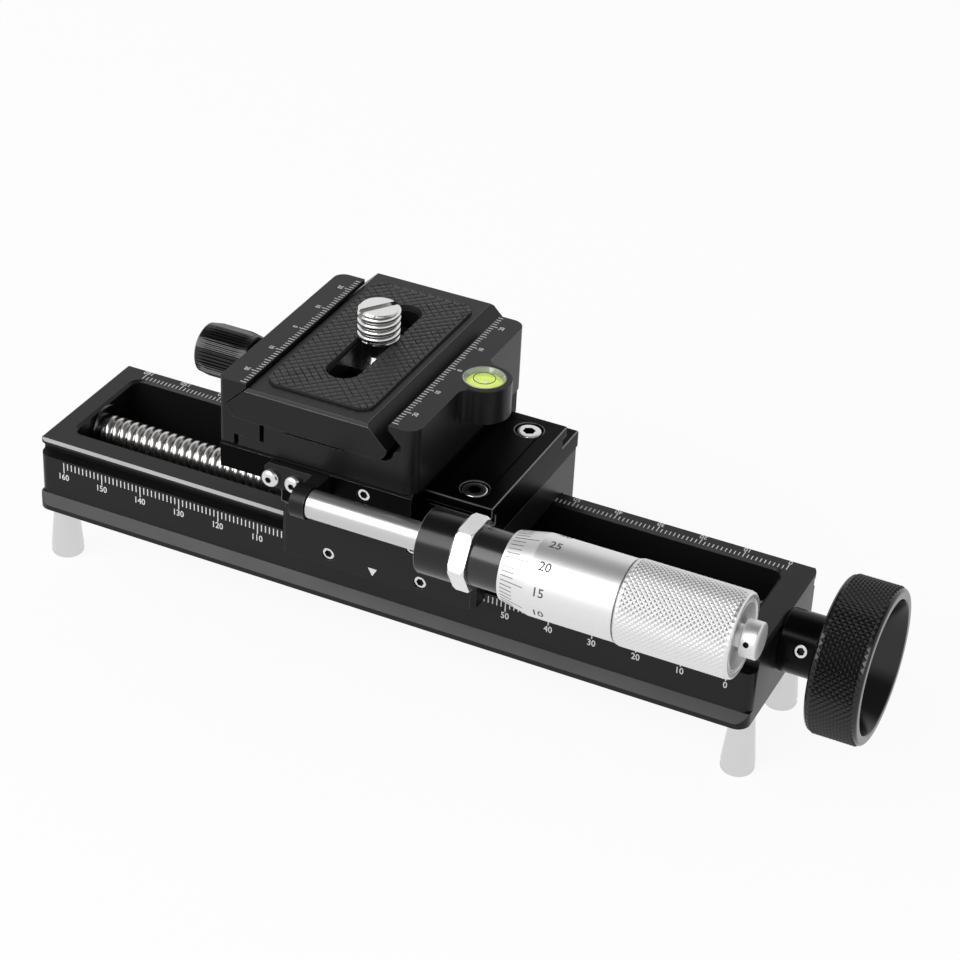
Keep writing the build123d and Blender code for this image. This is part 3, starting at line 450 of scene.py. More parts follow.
# %% Threads
def threaded(start, end, pitch, outline, steps):
    """A helix from start to end along X, closed with a flat face at each end."""
    turn = bmesh.new()
    verts = [
        turn.verts.new(((start - pitch + along * pitch) * mm, 0, radius * mm))
        for along, radius in outline
    ]
    edges = [turn.edges.new(pair) for pair in zip(verts, verts[1:])]
    bmesh.ops.spin(
        turn, geom=verts + edges, cent=(0, 0, 0), axis=(1, 0, 0),
        dvec=(pitch / steps * mm, 0, 0), angle=2 * pi, steps=steps,
    )
    shape = bmesh.new()
    for _ in range(int((end - start) / pitch) + 2):
        joined(shape, turn.copy())
        moved(turn, Matrix.Translation((pitch * mm, 0, 0)))
    turn.free()
    bmesh.ops.remove_doubles(shape, verts=shape.verts, dist=0.001 * mm)
    for place, side in ((start, -1), (end, 1)):
        cut = bmesh.ops.bisect_plane(
            shape, geom=shape.verts[:] + shape.edges[:] + shape.faces[:],
            plane_co=(place * mm, 0, 0), plane_no=(side, 0, 0), clear_outer=True,
        )["geom_cut"]
        rim = [item for item in cut if isinstance(item, bmesh.types.BMEdge)]
        bmesh.ops.triangle_fill(shape, edges=rim, use_beauty=True)
    return shape


# %% Lead screw
lead_ridge = (
    (0.0, 3.05), (0.07, 3.05), (0.15, 3.5), (0.22, 3.84), (0.34, 3.97), (0.5, 4.0),
    (0.66, 3.97), (0.78, 3.84), (0.85, 3.5), (0.93, 3.05), (1.0, 3.05),
)
left_journal = [(-86.25, 0), (-86.25, 3), (-79.0, 3), (-79.0, 0)]
right_journal = [(76.75, 0), (76.75, 5), (78.75, 5), (78.75, 3), (99.4, 3), (99.4, 0)]
lead_screw = joined(
    threaded(-79.8, 76.9, 2.0, lead_ridge, 28),
    turned(softened(left_journal, 0.2)),
    turned(softened(right_journal, 0.2)),
)
add_piece(
    "lead_screw_thread", moved(lead_screw, shaft), "lead_screw", screw_steel,
    ["lead_screw"],
)

# %% [markdown]
# ## Knurls
#
# A diamond knurl is two crossing families of grooves. Here the piece is turned with one ring of
# points for each half row, and every other point is pressed in, so that each point left
# standing is the tip of a small pyramid. Connecting the pressed points splits the faces
# between them along the grooves. A straight knurl presses in whole columns of points.


# %% Knurling tools
def knurled(before, band, after, columns, is_pressed):
    """Turn a piece with a band of (start, end, radius, depth, rows) that is knurled."""
    start, end, radius, depth, rows = band
    step = (end - start) / rows
    rings = [(start + step * row, radius) for row in range(rows + 1)]
    shape = turned(before + rings + after, columns)
    pressed = []
    for vert in shape.verts:
        from_axis = sqrt(vert.co.y ** 2 + vert.co.z ** 2) / mm
        row = round((vert.co.x / mm - start) / step)
        column = round(atan2(vert.co.y, vert.co.z) * columns / (2 * pi))
        in_band = abs(from_axis - radius) < 0.001 and 0 <= row <= rows
        if in_band and (row in (0, rows) or is_pressed(row, column)):
            vert.co.y *= 1 - depth / radius
            vert.co.z *= 1 - depth / radius
            pressed.append(vert)
    bmesh.ops.connect_verts(shape, verts=pressed)
    return shape


def diamonds(row, column):
    """A knurl of small pyramids."""
    return (row + column) % 2 == 1


def teeth(row, column):
    """A straight knurl: two columns of points stand and two are pressed in."""
    return column % 4 > 1


# %% Cutting one shape from another
def cut_away(shape, tool, operation="DIFFERENCE"):
    """What is left of a closed shape when another is taken from it."""
    holders = []
    for part in (shape, tool):
        bmesh.ops.recalc_face_normals(part, faces=part.faces)
        mesh = bpy.data.meshes.new("holder")
        part.to_mesh(mesh)
        part.free()
        holders.append(bpy.data.objects.new("holder", mesh))
        bpy.context.scene.collection.objects.link(holders[-1])
    cut = holders[0].modifiers.new("cut", "BOOLEAN")
    cut.object, cut.solver, cut.operation = holders[1], "EXACT", operation
    ready = holders[0].evaluated_get(bpy.context.evaluated_depsgraph_get())
    left = bmesh.new()
    left.from_mesh(ready.data)
    for holder in holders:
        mesh = holder.data
        bpy.data.objects.remove(holder)
        bpy.data.meshes.remove(mesh)
    return left


# %% [markdown]
# ## The rail's rounded ends
#
# The rail's upright corners are rounded above the flare. A copy of the arrived rail loses four
# small corner pieces to a Boolean: each is a square with a round bite, extruded upwards. On the
# same copy the front chamfer and the flare below the scale, the faces that lean up towards the
# front, get lighter blacks of their own, chosen by which way a face leans: a painted highlight.

# %% Rail with rounded ends
rail_high = Vector(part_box("rail_body")[1]) / mm
corner_radius, face_y, flare_top, chamfer_low = 2.0, 18.85, 3.4, 16
beyond, above, arc_steps = 0.5, 1, 8
corners = bmesh.new()
for side_x in (-1, 1):
    for side_y in (-1, 1):
        bite = [
            (
                rail_high.x - corner_radius * (1 - sin(angle)),
                face_y - corner_radius * (1 - cos(angle)),
            )
            for angle in (pi / 2 * step / arc_steps for step in range(arc_steps + 1))
        ]
        outside = [
            (rail_high.x + beyond, bite[-1][1]),
            (rail_high.x + beyond, face_y + beyond),
            (bite[0][0], face_y + beyond),
        ]
        ring = [
            corners.verts.new((x * side_x * mm, y * side_y * mm, flare_top * mm))
            for x, y in bite + outside
        ]
        risen = bmesh.ops.extrude_face_region(corners, geom=[corners.faces.new(ring)])["geom"]
        top = [item for item in risen if isinstance(item, bmesh.types.BMVert)]
        rise = (rail_high.z - flare_top + above) * mm
        bmesh.ops.translate(corners, verts=top, vec=(0, 0, rise))
bmesh.ops.holes_fill(corners, edges=corners.edges, sides=arc_steps + 4)
rail = bmesh.new()
rail.from_mesh(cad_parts["rail_body"].data)
bmesh.ops.remove_doubles(rail, verts=rail.verts, dist=0.0005 * mm)
rail = cut_away(rail, corners)
# Faces that lean up towards the front take the lighter blacks, a painted highlight: the chamfer on
# top, the flare below.
for face in rail.faces:
    middle = face.calc_center_median() / mm
    is_leaning = middle.y < 0 and face.normal.y < -0.5 and 0.5 < face.normal.z < 0.8
    face.material_index = 0
    if is_leaning and middle.z > chamfer_low:
        face.material_index = 1
    elif is_leaning and middle.z < flare_top:
        face.material_index = 2
add_piece(
    "rail_rounded", rail, "rail", anodised, ["rail_body"],
    inside=edge_painted_highlight,
)
rail = bpy.data.objects["rail_rounded"]
rail.data.materials.append(flare_painted_highlight.material)
rail.modifiers.clear()
broken(rail, milled_edge)

# %% [markdown]
# ## Wheel, grip and clamp knob
#
# The hand wheel is a deep cup with a coarse diamond knurl, on a smooth hub. The hub's set
# screw sits in a hole that a Boolean cuts. Bands are (start, end, radius, depth, rows).

# %% Hand wheel
wheel_band, wheel_columns = (97.1, 107.4, 17.4, 0.5, 14), 144
wheel_back = [(99.4, 3.03), (96.5, 3.03), (96.5, 16.6), (96.95, 17.0), (97.05, 17.0)]
wheel_front = [
    (107.45, 17.0), (107.6, 17.0), (108.0, 16.6), (108.0, 14.8), (99.4, 12.4), (99.4, 3.03),
]
hand_wheel = knurled(
    softened(wheel_back, 0.2), wheel_band, softened(wheel_front, 0.3), wheel_columns, diamonds,
)
add_piece(
    "hand_wheel_rim", moved(hand_wheel, shaft), "lead_screw", knurl_black,
    ["hand_wheel"],
)
hub = [(96.6, 3.03), (86.55, 3.03), (86.55, 6.9), (96.6, 6.9), (96.6, 3.03)]
seat_radius, hub_screw_x, screw_angle = 6.6, 91.6, radians(20)
screw_direction = Vector((0, -cos(screw_angle), sin(screw_angle)))
screw_hole = turned([(0, 0), (0, 1.53), (9, 1.53), (9, 0)], 48)
moved(screw_hole, facing((hub_screw_x, 0, 0), screw_direction))
hub = cut_away(turned(softened(hub, 0.3)), screw_hole)
add_piece(
    "hand_wheel_hub", moved(hub, shaft), "lead_screw", hub_black,
    ["hand_wheel"],
)

# %% Thimble grip and clamp knob
grip_inner = [(87.7, 7.93), (63.5, 7.93), (63.5, 8.7), (63.75, 8.9)]
grip_outer = [(87.4, 8.9), (87.7, 8.6), (87.7, 7.93)]
grip_band, grip_columns = (63.8, 87.35, 9.1, 0.26, 40), 96
grip = knurled(
    softened(grip_inner, 0.1), grip_band, softened(grip_outer, 0.15), grip_columns, diamonds,
)
add_piece(
    "thimble_grip_knurled", moved(grip, micrometer), "thimble", knurl_silver,
    ["thimble_grip"],
)

knob_outer = [(-53.7, 0), (-53.7, 5.0), (-53.2, 5.55)]
knob_inner = [(-41.2, 5.55), (-40.7, 5.1), (-40.7, 4.4), (-35.25, 4.4), (-35.25, 0)]
knob_band, knob_columns = (-53.15, -41.25, 5.95, 0.4, 5), 176
knob = knurled(
    softened(knob_outer, 0.25), knob_band, softened(knob_inner, 0.25), knob_columns, teeth,
)
knob_place = Matrix.Translation((0, 0, 41 * mm))
add_piece(
    "clamp_knob_knurled", moved(knob, knob_place), "clamp_knob", knurl_black,
    ["clamp_knob"],
)

# %% [markdown]
# ## The micrometer head
#
# The sleeve, the spindle and the thimble are turned about one axis. The thimble's end has a
# shallow dish with a groove inside its rim, and it is a piece of its own. The small stop knob
# has a spanner hole in its side, and a Boolean cuts it because the two surfaces are both
# curved. The faces inside the hole are the ones whose corners all lie near the hole's axis.


# %% Sleeve and spindle
sleeve = [
    (62.5, 3.15), (19, 3.15), (19, 4.75), (30.7, 4.75), (30.7, 6.35), (62.5, 6.35),
    (62.5, 3.15),
]
sleeve = turned(softened(sleeve, 0.3), 120)
add_piece(
    "sleeve_barrel", moved(sleeve, micrometer), "carriage", gloss_black,
    ["sleeve"],
)
spindle = [(-8.3, 0), (-8.3, 3.1), (81.0, 3.1), (81.0, 2.0), (83.5, 2.0), (83.5, 0)]
spindle = turned(softened(spindle, 0.35), 120)
add_piece(
    "spindle_rod", moved(spindle, micrometer), "spindle", chrome, ["spindle"],
)

# %% Thimble
barrel = [
    (84.1, 2.45), (81.3, 2.45), (81.3, 6.65), (37.8, 6.65), (37.8, 7.4), (44.4, 8.7),
    (63.2, 8.7), (63.2, 7.9), (84.1, 7.9), (84.1, 2.45),
]
barrel = turned(softened(barrel, 0.12), 144)
add_piece(
    "thimble_barrel", moved(barrel, micrometer), "thimble", satin,
    ["thimble"],
)
dish = [
    (86.7, 2.45), (84.05, 2.45), (84.05, 7.88), (87.68, 7.88), (87.68, 7.6), (87.05, 7.5),
    (87.05, 7.15), (87.5, 7.0), (86.7, 4.2), (86.7, 2.45),
]
dish = turned(softened(dish, 0.12), 120)
add_piece("thimble_end", moved(dish, micrometer), "thimble", satin, ["thimble"])

# %% Stop knob
stop = [(84.1, 0), (84.1, 2.4), (88.0, 2.4), (88.0, 3.9), (91.35, 3.9), (91.5, 2.5), (91.5, 0)]
stop_radius, hole_radius, hole_floor, hole_angle = 3.9, 0.62, 2, radians(13.5)
hole_direction = Vector((0, -cos(hole_angle), sin(hole_angle)))
spanner_hole = turned([(-1.2, 0), (-1.2, hole_radius), (1.2, hole_radius), (1.2, 0)], 24)
hole_place = Vector((89.5, 0, 0))
moved(spanner_hole, facing(hole_place + hole_direction * stop_radius, hole_direction))
stop_knob = cut_away(turned(softened(stop, 0.35), 72), spanner_hole)
for face in stop_knob.faces:
    away = [vert.co / mm - hole_place for vert in face.verts]
    off_axis = [(place - hole_direction * place.dot(hole_direction)).length for place in away]
    is_inside = max(off_axis) < hole_radius + 0.02 and away[0].dot(hole_direction) > hole_floor
    # Faces inside the hole take the second material, a painted shade.
    face.material_index = int(is_inside)
add_piece(
    "ratchet_stop_knob", moved(stop_knob, micrometer), "ratchet_stop", satin,
    ["ratchet_stop"], inside=hollow_shade_and_black,
)
dress("lock_nut", nut_steel, edge=0.12)

# %% [markdown]
# ## Feet
#
# Each foot is a turned cone with fine notches round its lower edge for the fingers, so it is
# made with the same tool as the knurls.

# %% Feet
foot_bottom = [(-15.8, 0), (-15.8, 3.0), (-15.45, 3.45)]
foot_top = [(-14.2, 3.7), (-13.2, 3.7), (0, 2.45), (0, 0)]
foot_band, foot_columns = (-15.4, -14.3, 3.7, 0.15, 3), 128
for name in ("foot_left_front", "foot_left_back", "foot_right_front", "foot_right_back"):
    foot = knurled(
        softened(foot_bottom, 0.25), foot_band, softened(foot_top, 0.3), foot_columns, teeth,
    )
    x, y, _ = middle_of(name)
    add_piece(
        name + "_turned", moved(foot, upright(x, y)), "rail", foot_steel,
        [name],
    )

# %% [markdown]
# ## The camera screw
#
# The thread's first and last ridges are turned down to a short cone, by moving in the points
# that stand out of it. The driver slot crosses the helix at an angle, so a Boolean cuts it.

# %% Camera screw
camera_ridge = (
    (0.0, 4.15), (0.05, 4.17), (0.12, 4.42), (0.2, 4.62), (0.32, 4.73), (0.5, 4.76),
    (0.68, 4.73), (0.8, 4.62), (0.88, 4.42), (0.95, 4.17), (1.0, 4.15),
)
thread_radius, thread_low, thread_high, thread_lead_in = 4.76, 51.6, 59.0, 0.6
camera_pitch = 25.4 / 16
camera_thread = threaded(thread_low, thread_high, camera_pitch, camera_ridge, 72)
for vert in camera_thread.verts:
    height, from_axis = vert.co.x / mm, sqrt(vert.co.y ** 2 + vert.co.z ** 2) / mm
    to_end = min(height - thread_low, thread_high - height)
    allowed = thread_radius - max(thread_lead_in - to_end, 0)
    if from_axis > allowed:
        vert.co.y *= allowed / from_axis
        vert.co.z *= allowed / from_axis
driver_slot = bmesh.new()
slot_height, slot_depth, slot_width, slot_length = 58.5, 3.0, 1.6, 14
slot_turn = Matrix.Rotation(radians(55.5), 4, "X")
slot_size = Matrix.LocRotScale(
    Vector((slot_height, 0, 0)) * mm, None, Vector((slot_depth, slot_width, slot_length)) * mm,
)
bmesh.ops.create_cube(driver_slot, size=1, matrix=slot_turn @ slot_size)
neck = [(43.6, 0), (43.6, 5.5), (44.9, 5.5), (44.9, 3.2), (52.5, 3.2), (52.5, 0)]
camera_screw = joined(cut_away(camera_thread, driver_slot), turned(softened(neck, 0.15)))
x, y, _ = middle_of("camera_screw")
add_piece(
    "camera_screw_thread", moved(camera_screw, upright(x, y)), "camera_screw", camera_steel,
    ["camera_screw"],
)

# %% [markdown]
# ## Screws with hexagon sockets
#
# Each screw is turned with its outer end left open. A circle of six points is the socket's
# mouth, and Bridge Loops joins the two. The socket's walls are the mouth's edges, extruded
# inwards, and a fill closes its bottom.


# %% Screw tools
def socket_screw(outline, socket_radius, depth):
    """A screw along X; the last point of its outline is the rim round the socket."""
    shape = turned(outline, 42)
    rim = [edge for edge in shape.edges if edge.is_boundary]
    top = Matrix.Translation((outline[-1][0] * mm, 0, 0)) @ Matrix.Rotation(pi / 2, 4, "Y")
    mouth = bmesh.ops.create_circle(
        shape, segments=6, radius=socket_radius * mm, matrix=top,
    )["verts"]
    mouth_edges = list({edge for vert in mouth for edge in vert.link_edges})
    bmesh.ops.bridge_loops(shape, edges=rim + mouth_edges)
    walls = bmesh.ops.extrude_edge_only(shape, edges=mouth_edges)["geom"]
    bottom = [item for item in walls if isinstance(item, bmesh.types.BMVert)]
    bmesh.ops.translate(shape, verts=bottom, vec=(-depth * mm, 0, 0))
    bottom_edges = [edge for edge in shape.edges if all(vert in bottom for vert in edge.verts)]
    bmesh.ops.edgeloop_fill(shape, edges=bottom_edges)
    # The socket's walls and bottom take the second material, a painted shade.
    for face in {face for vert in bottom for face in vert.link_faces}:
        face.material_index = 1
    return shape


def set_screw(length):
    """A headless screw; its outer end is at X = 0."""
    outline = [(-length, 0), (-length, 1.5), (0, 1.5), (0, 1.05)]
    return socket_screw(softened(outline, 0.2), socket_radius=0.92, depth=1.2)


def button_screw(head, length):
    """A domed screw; the shoulder of its head is at X = 0."""
    outline = [
        (-length, 0), (-length, 1.0), (0, 1.0), (0, head - 0.05), (0.12, head), (0.4, head),
        (0.75, head - 0.15), (1.05, head - 0.42), (1.28, head - 0.8), (1.36, 0.86),
    ]
    return socket_screw(outline, socket_radius=0.76, depth=0.95)


def cap_screw(length):
    """A round-headed screw; the top of its head is at X = 0."""
    outline = [(-length, 0), (-length, 1.5), (-3.0, 1.5), (-3.0, 2.75), (0, 2.75), (0, 1.75)]
    return socket_screw(softened(outline, 0.3), socket_radius=1.44, depth=1.7)


front = (0, -1, 0)

# %% Set screws
low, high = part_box("gib_set_screws")
side_length = (high[1] - low[1]) / mm
gib_screws = [
    moved(set_screw(side_length), facing((x, low[1] / mm, z), front))
    for x, z in ((-8.6, 15.7), (13.3, 15.7), (11.1, 23.6))
]
add_piece(
    "gib_set_screws_socket", joined(*gib_screws), "carriage", fastener_steel,
    ["gib_set_screws"], inside=hollow_shade_and_black,
)

low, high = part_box("slide_set_screw")
x, _, z = middle_of("slide_set_screw")
slide_screw = moved(set_screw((high[1] - low[1]) / mm), facing((x, low[1] / mm, z), front))
add_piece(
    "slide_set_screw_socket", slide_screw, "fine_slide", fastener_steel,
    ["slide_set_screw"], inside=hollow_shade_and_black,
)

hub_screw = set_screw(3.5)
hub_screw_seat = Vector((hub_screw_x, 0, shaft_z)) + screw_direction * seat_radius
moved(hub_screw, facing(hub_screw_seat, screw_direction))
add_piece(
    "wheel_set_screw_socket", hub_screw, "lead_screw", fastener_steel,
    ["wheel_set_screw"], inside=hollow_shade_and_black,
)

# %% Head screws
head_height, bracket_z, ring_z = 1.4, 32.3, 23.8
low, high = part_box("bracket_screws")
bracket_screws = [
    moved(
        button_screw(2.1, (high[1] - low[1]) / mm - head_height),
        facing((x, low[1] / mm + head_height, bracket_z), front),
    )
    for x in (-21.3, -15.8)
]
add_piece(
    "bracket_screws_button", joined(*bracket_screws), "fine_slide", fastener_steel,
    ["bracket_screws"], inside=hollow_shade_and_black,
)

low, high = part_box("ring_screws")
ring_screws = [
    moved(
        button_screw(1.7, (high[1] - low[1]) / mm - head_height),
        facing((x, low[1] / mm + head_height, ring_z), front),
    )
    for x in (21.0, 25.0)
]
add_piece(
    "ring_screws_button", joined(*ring_screws), "carriage", fastener_steel,
    ["ring_screws"], inside=hollow_shade_and_black,
)

low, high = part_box("track_screws")
track_screws = [
    moved(cap_screw((high[2] - low[2]) / mm), facing((x, y, high[2] / mm), (0, 0, 1)))
    for x in (-13.35, 19.45)
    for y in (-13.5, 13.5)
]
add_piece(
    "track_screws_cap", joined(*track_screws), "carriage", fastener_steel,
    ["track_screws"], inside=hollow_shade_and_black,
)

# %% [markdown]
# ## The bubble level
#
# The vial is a puck whose inner wall slopes down to the yellow-green liquid. A thin clear cap
# closes it, with a black circle on its underside, and the bubble sits a little off the middle.
# A thin black ring parts the puck from the clamp's ear.

# %% Bubble level
x, y, _ = middle_of("bubble_level")
level_place = upright(x, y)
vial = [(47.7, 0), (47.7, 4.68), (52.0, 4.68), (52.1, 4.5), (50.7, 3.95), (50.7, 0)]
vial = turned(softened(vial, 0.08))
add_piece(
    "level_vial", moved(vial, level_place), "fine_slide", clear_wall, ["bubble_level"],
)
dark_ring = [(51.2, 4.66), (51.96, 4.66), (51.96, 5.0), (51.2, 5.0), (51.2, 4.66)]
add_piece("level_dark_ring", moved(turned(dark_ring), level_place), "fine_slide", hollow_shade_and_black)
drop = [(50.6, 0), (50.6, 4.0), (50.85, 3.98), (50.95, 3.6), (51.0, 2.0), (51.02, 0)]
add_piece("level_liquid", moved(turned(drop), level_place), "fine_slide", liquid)
cap = [(51.85, 0), (51.85, 4.5), (52.0, 4.55), (52.1, 4.3), (52.16, 2.5), (52.18, 0)]
add_piece("level_cap", moved(turned(cap), level_place), "fine_slide", clear_cap)
circle = [(51.78, 2.28), (51.86, 2.28), (51.86, 2.46), (51.78, 2.46), (51.78, 2.28)]
add_piece("level_circle", moved(turned(circle), level_place), "fine_slide", hollow_shade_and_black)
bubble = [(51.0, 0), (51.0, 0.85), (51.12, 0.8), (51.2, 0.5), (51.22, 0)]
bubble_place = Matrix.Translation((0.5 * mm, -0.2 * mm, 0)) @ level_place
bubble = moved(turned(bubble, 48), bubble_place)
add_piece("level_bubble", bubble, "fine_slide", bubble_finish)

# %% [markdown]
# ## Scales and numbers
#
# The print is a thin layer of ink. A tick is a flat box a fiftieth of a millimetre proud, and a
# number is a text curve made a mesh, scaled to its height and laid on the face.


# %% Printing tools
def tick(shape, centre, size):
    """Add a flat box on a face, in millimetres."""
    place = Matrix.LocRotScale(Vector(centre) * mm, None, Vector(size) * mm)
    bmesh.ops.create_cube(shape, size=1, matrix=place)


def figure(text, height, width=0.88):
    """A number in the XY plane, centred on the origin and narrowed to a width."""
    curve = bpy.data.curves.new("figure", "FONT")
    curve.body, curve.resolution_u, curve.extrude, curve.offset = text, 3, 0.008, 0.012
    holder = bpy.data.objects.new("figure", curve)
    mesh = bpy.data.meshes.new_from_object(holder)
    shape = bmesh.new()
    shape.from_mesh(mesh)
    across, up = [[vert.co[axis] for vert in shape.verts] for axis in (0, 1)]
    middle = Vector((min(across) + max(across), min(up) + max(up), 0)) / 2
    scale = height * mm / (max(up) - min(up))
    moved(shape, Matrix.Diagonal((scale * width, scale, scale, 1)) @ Matrix.Translation(-middle))
    bpy.data.objects.remove(holder)
    bpy.data.curves.remove(curve)
    bpy.data.meshes.remove(mesh)
    return shape


def at(*place):
    """A move to a place in millimetres."""
    return Matrix.Translation(Vector(place) * mm)


# %% Rail scale
rail_print = bmesh.new()
rail_zero, ink_layer, rail_top, tick_top = 80.24, 0.04, 17.5, 12.6
for n in range(161):
    x, is_long = rail_zero - n, n % 10 == 0
    front_length, back_length = (2.7, 2.15) if is_long else (1.7, 1.35)
    front_place, back_place = tick_top - front_length / 2, 14.65 + back_length / 2
    tick(rail_print, (x, -face_y, front_place), (0.25, ink_layer, front_length))
    tick(rail_print, (x, back_place, rail_top), (0.22, back_length, ink_layer))
for n in range(0, 161, 10):
    standing = at(rail_zero - n, -face_y, 8.9) @ Matrix.Rotation(pi / 2, 4, "X")
    lying = at(rail_zero - n, 17.52, rail_top) @ Matrix.Rotation(pi, 4, "Z")
    joined(rail_print, moved(figure(str(n), 1.6), standing), moved(figure(str(n), 1.45), lying))
add_piece("rail_scale", rail_print, "rail", ink)

# %% Jaw scales and pointer
fixed_print, moving_print = bmesh.new(), bmesh.new()
jaw_pitch, fixed_zero, moving_zero = 1.035, 1.6, 0.7
jaw_top, fixed_x, moving_x, number_gap = 51.9, 5.0, -28.8, 2.7
for k in range(-25, 25):
    length = 1.75 if k % 10 == 0 else 1.45 if k % 5 == 0 else 1.1
    size = (length, 0.2, ink_layer)
    tick(fixed_print, (fixed_x + length / 2, fixed_zero + jaw_pitch * k, jaw_top), size)
    tick(moving_print, (moving_x - length / 2, moving_zero + jaw_pitch * k, jaw_top), size)
for k in range(-20, 21, 10):
    right_place = at(fixed_x + number_gap, fixed_zero + jaw_pitch * k, jaw_top)
    right_place = right_place @ Matrix.Rotation(pi / 2, 4, "Z")
    left_place = at(moving_x - number_gap, moving_zero + jaw_pitch * k, jaw_top)
    left_place = left_place @ Matrix.Rotation(-pi / 2, 4, "Z")
    joined(fixed_print, moved(figure(str(abs(k)), 1.15), right_place))
    joined(moving_print, moved(figure(str(abs(k)), 1.15), left_place))
add_piece("fixed_jaw_scale", fixed_print, "fine_slide", ink)
add_piece("moving_jaw_scale", moving_print, "clamp_jaw", ink)

pointer = bmesh.new()
bmesh.ops.create_circle(pointer, cap_ends=True, segments=3, radius=1.25 * mm)
bmesh.ops.solidify(pointer, geom=pointer.faces[:], thickness=ink_layer * mm)
point_down = Matrix.Rotation(pi / 2, 4, "X") @ Matrix.Rotation(pi, 4, "Z")
apron_front = -25.87
moved(pointer, at(2.15, apron_front, 15.0) @ point_down)
add_piece("pointer_mark", pointer, "carriage", ink)

# %% [markdown]
# ## The thimble's graduations
#
# Fifty lines lie on the thimble's bevel. Each is a thin box, tilted to the cone and then turned
# about the micrometer's axis. A number is sliced into narrow strips, so that it can be bent
# round the barrel point by point without sinking in between.

# %% Thimble graduations
graduations = bmesh.new()
edge_x, edge_radius, barrel_radius, bevel_rise = 37.8, 7.4, 8.7, 1.3 / 6.6
division, front_number, front_angle, number_x, slice_width = 360 / 50, 15, 11, 47.5, 0.15
for n in range(50):
    length = 5.4 if n % 5 == 0 else 2.9
    x = edge_x + 0.75 + length / 2
    above_front = radians(front_angle + (n - front_number) * division)
    turn = Matrix.Rotation(pi / 2 - above_front, 4, "X")
    on_cone = at(x, 0, edge_radius + (x - edge_x) * bevel_rise)
    tilt = Matrix.Rotation(-atan2(bevel_rise, 1), 4, "Y")
    line = Matrix.Diagonal((length * mm, 0.14 * mm, 0.06 * mm, 1))
    bmesh.ops.create_cube(graduations, size=1, matrix=turn @ on_cone @ tilt @ line)
    if n % 5 == 0:
        label = figure(str(n), 1.95, 1.0)
        for cut in range(-6, 7):
            bmesh.ops.bisect_plane(
                label, geom=label.verts[:] + label.edges[:] + label.faces[:],
                plane_co=(0, cut * slice_width * mm, 0), plane_no=(0, 1, 0),
            )
        for vert in label.verts:
            around = vert.co.y / (barrel_radius * mm)
            out = barrel_radius * mm + vert.co.z
            vert.co = (vert.co.x + number_x * mm, sin(around) * out, cos(around) * out)
        joined(graduations, moved(label, turn))
add_piece("thimble_graduations", moved(graduations, micrometer), "thimble", engraved)

# %% [markdown]
# ## The ribbed pad
#
# Two families of grooves cross the rubber pad at 45 degrees, 1.5 mm apart, and leave low
# diamonds between them. A turned grid gives the diamonds, Inset Individual narrows and lifts
# each one, and a Boolean keeps what lies inside the pad that arrived.

# %% Pad
pad = bmesh.new()
pad_low, pad_high = [Vector(corner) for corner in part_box("plate_pad")]
cells, cell, groove_depth, half_groove = 42, 1.5 * mm, 0.3 * mm, 0.22 * mm
bmesh.ops.create_grid(pad, x_segments=cells, y_segments=cells, size=cells * cell / 2)
bmesh.ops.inset_individual(pad, faces=pad.faces[:], thickness=half_groove, depth=groove_depth)
rim = [edge for edge in pad.edges if edge.is_boundary]
skirt = bmesh.ops.extrude_edge_only(pad, edges=rim)["geom"]
skirt_verts = [item for item in skirt if isinstance(item, bmesh.types.BMVert)]
bmesh.ops.translate(pad, verts=skirt_verts, vec=(0, 0, -2 * mm))
bmesh.ops.edgeloop_fill(pad, edges=[edge for edge in pad.edges if edge.is_boundary])
pad_middle = (pad_low + pad_high) / 2
pad_middle.z = pad_high.z - groove_depth
moved(pad, Matrix.Translation(pad_middle) @ Matrix.Rotation(radians(45), 4, "Z"))
arrived_pad = bmesh.new()
arrived_pad.from_mesh(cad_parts["plate_pad"].data)
bmesh.ops.remove_doubles(arrived_pad, verts=arrived_pad.verts, dist=0.0005 * mm)
pad = cut_away(pad, arrived_pad, "INTERSECT")
add_piece("pad_ribs", pad, "plate", rubber, ["plate_pad"], sharp=20)

# %% [markdown]
# ## The studio
#
# A pale floor, a bright horizon and one long soft box. The floor glows to the camera and in
# reflections, so it shows white, and a share of plain white keeps the soft shadow. The world
# is bright near the horizon, which the black tops mirror as grey, and dark overhead, which
# gives the turned parts their dark bands. The box stands at the front left and makes the
# bright band along the micrometer and the thin lines on the edges.

# %% Studio
floor_z = cad_box[0][2]


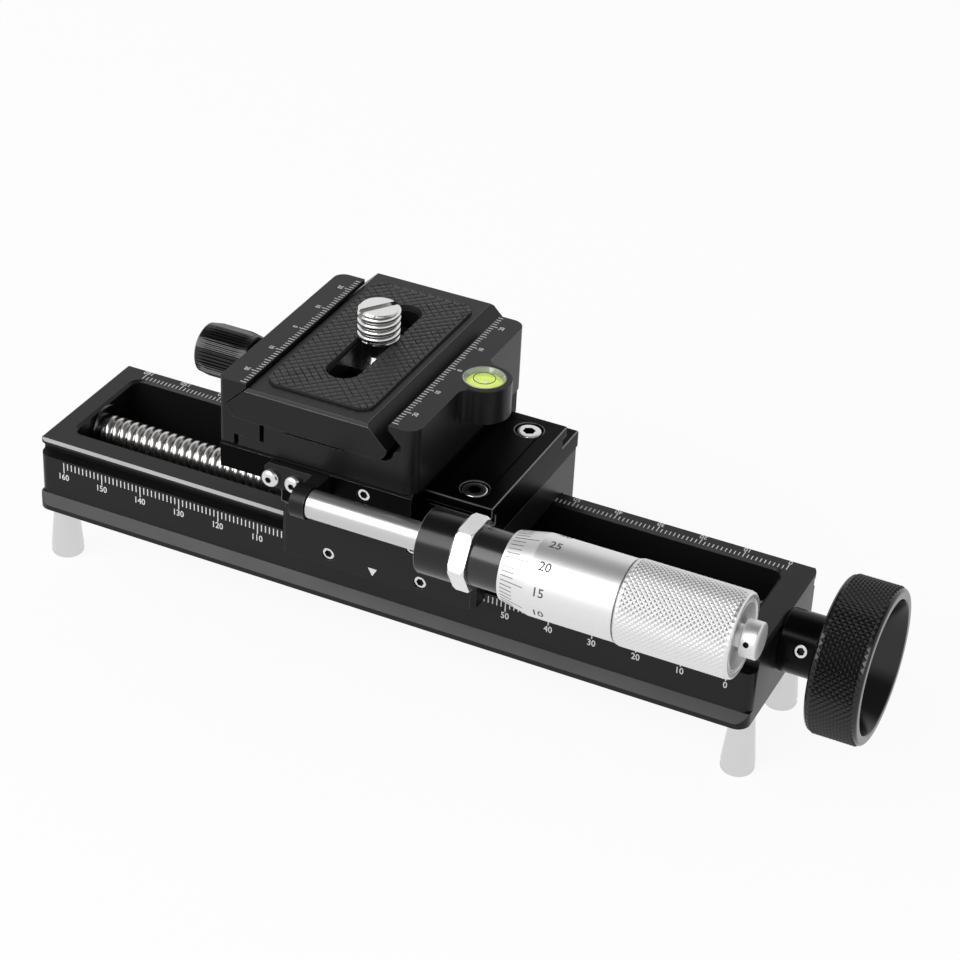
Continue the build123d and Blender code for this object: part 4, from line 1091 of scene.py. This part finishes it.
def stage_floor():
    """A floor that is white to the camera and keeps the shadow."""
    size, glow_share = 3.0, 0.92
    mesh = bpy.data.meshes.new("floor")
    shape = bmesh.new()
    bmesh.ops.create_grid(shape, x_segments=1, y_segments=1, size=size)
    bmesh.ops.translate(shape, verts=shape.verts, vec=(0, 0, floor_z))
    shape.to_mesh(mesh)
    shape.free()
    floor = bpy.data.objects.new("floor", mesh)
    bpy.context.scene.collection.objects.link(floor)
    white = Finish("floor_white", (0.82, 0.82, 0.82), 0.9)
    camera_ray, glossy_ray, clear_ray = (
        white.node("LightPath", {}, {}, "Is %s Ray" % kind)
        for kind in ("Camera", "Glossy", "Transmission")
    )
    any_ray = camera_ray + glossy_ray + clear_ray
    seen = white.node("Math", {"operation": "MINIMUM"}, {0: any_ray, 1: 1.0})
    glow = white.node("Emission", {}, {"Color": (1, 1, 1, 1), "Strength": 1.0})
    surface = white.nodes["Material Output"].inputs["Surface"]
    shader = Wire(white, white.shader.outputs[0])
    mixed = white.node("MixShader", {}, {0: seen * glow_share, 1: shader, 2: glow})
    white.links.new(mixed.socket, surface)
    mesh.materials.append(white.material)


stage_floor()

world = bpy.data.worlds.new("studio")
bpy.context.scene.world = world
world.use_nodes = True
world_nodes, world_links = world.node_tree.nodes, world.node_tree.links
direction = world_nodes.new("ShaderNodeTexCoord")
split_axes = world_nodes.new("ShaderNodeSeparateXYZ")
falloff = world_nodes.new("ShaderNodeMapRange")
horizon_top, dark_from, bright, dark = 0.56, 0.82, 1.0, 0.18
range_sockets = ("From Min", "From Max", "To Min", "To Max")
for socket, value in zip(range_sockets, (horizon_top, dark_from, bright, dark)):
    falloff.inputs[socket].default_value = value
path = world_nodes.new("ShaderNodeLightPath")
brightness = world_nodes.new("ShaderNodeMix")
brightness.inputs["B"].default_value = 1.0
backdrop = world_nodes["Background"]
backdrop.inputs["Color"].default_value = (1, 1, 1, 1)
world_links.new(direction.outputs["Generated"], split_axes.inputs[0])
world_links.new(split_axes.outputs["Z"], falloff.inputs["Value"])
world_links.new(falloff.outputs["Result"], brightness.inputs["A"])
world_links.new(path.outputs["Is Camera Ray"], brightness.inputs["Factor"])
world_links.new(brightness.outputs["Result"], backdrop.inputs["Strength"])


def soft_box(name, place, target, size, power):
    """A rectangular area lamp at a place, aimed at a target, in metres and watts."""
    data = bpy.data.lights.new(name, "AREA")
    data.shape = "RECTANGLE"
    data.size, data.size_y = size
    data.energy = power
    lamp = bpy.data.objects.new(name, data)
    bpy.context.scene.collection.objects.link(lamp)
    aim = (Vector(target) - Vector(place)).to_track_quat("-Z", "Y")
    lamp.matrix_world = Matrix.Translation(place) @ aim.to_matrix().to_4x4()


soft_box("key_box", (-0.37, -0.76, 0.72), (0.03, 0, 0.02), (1.1, 0.72), 10.0)
bpy.context.scene.view_settings.view_transform = "Standard"
print("floor at", round(floor_z / mm, 2), "mm")
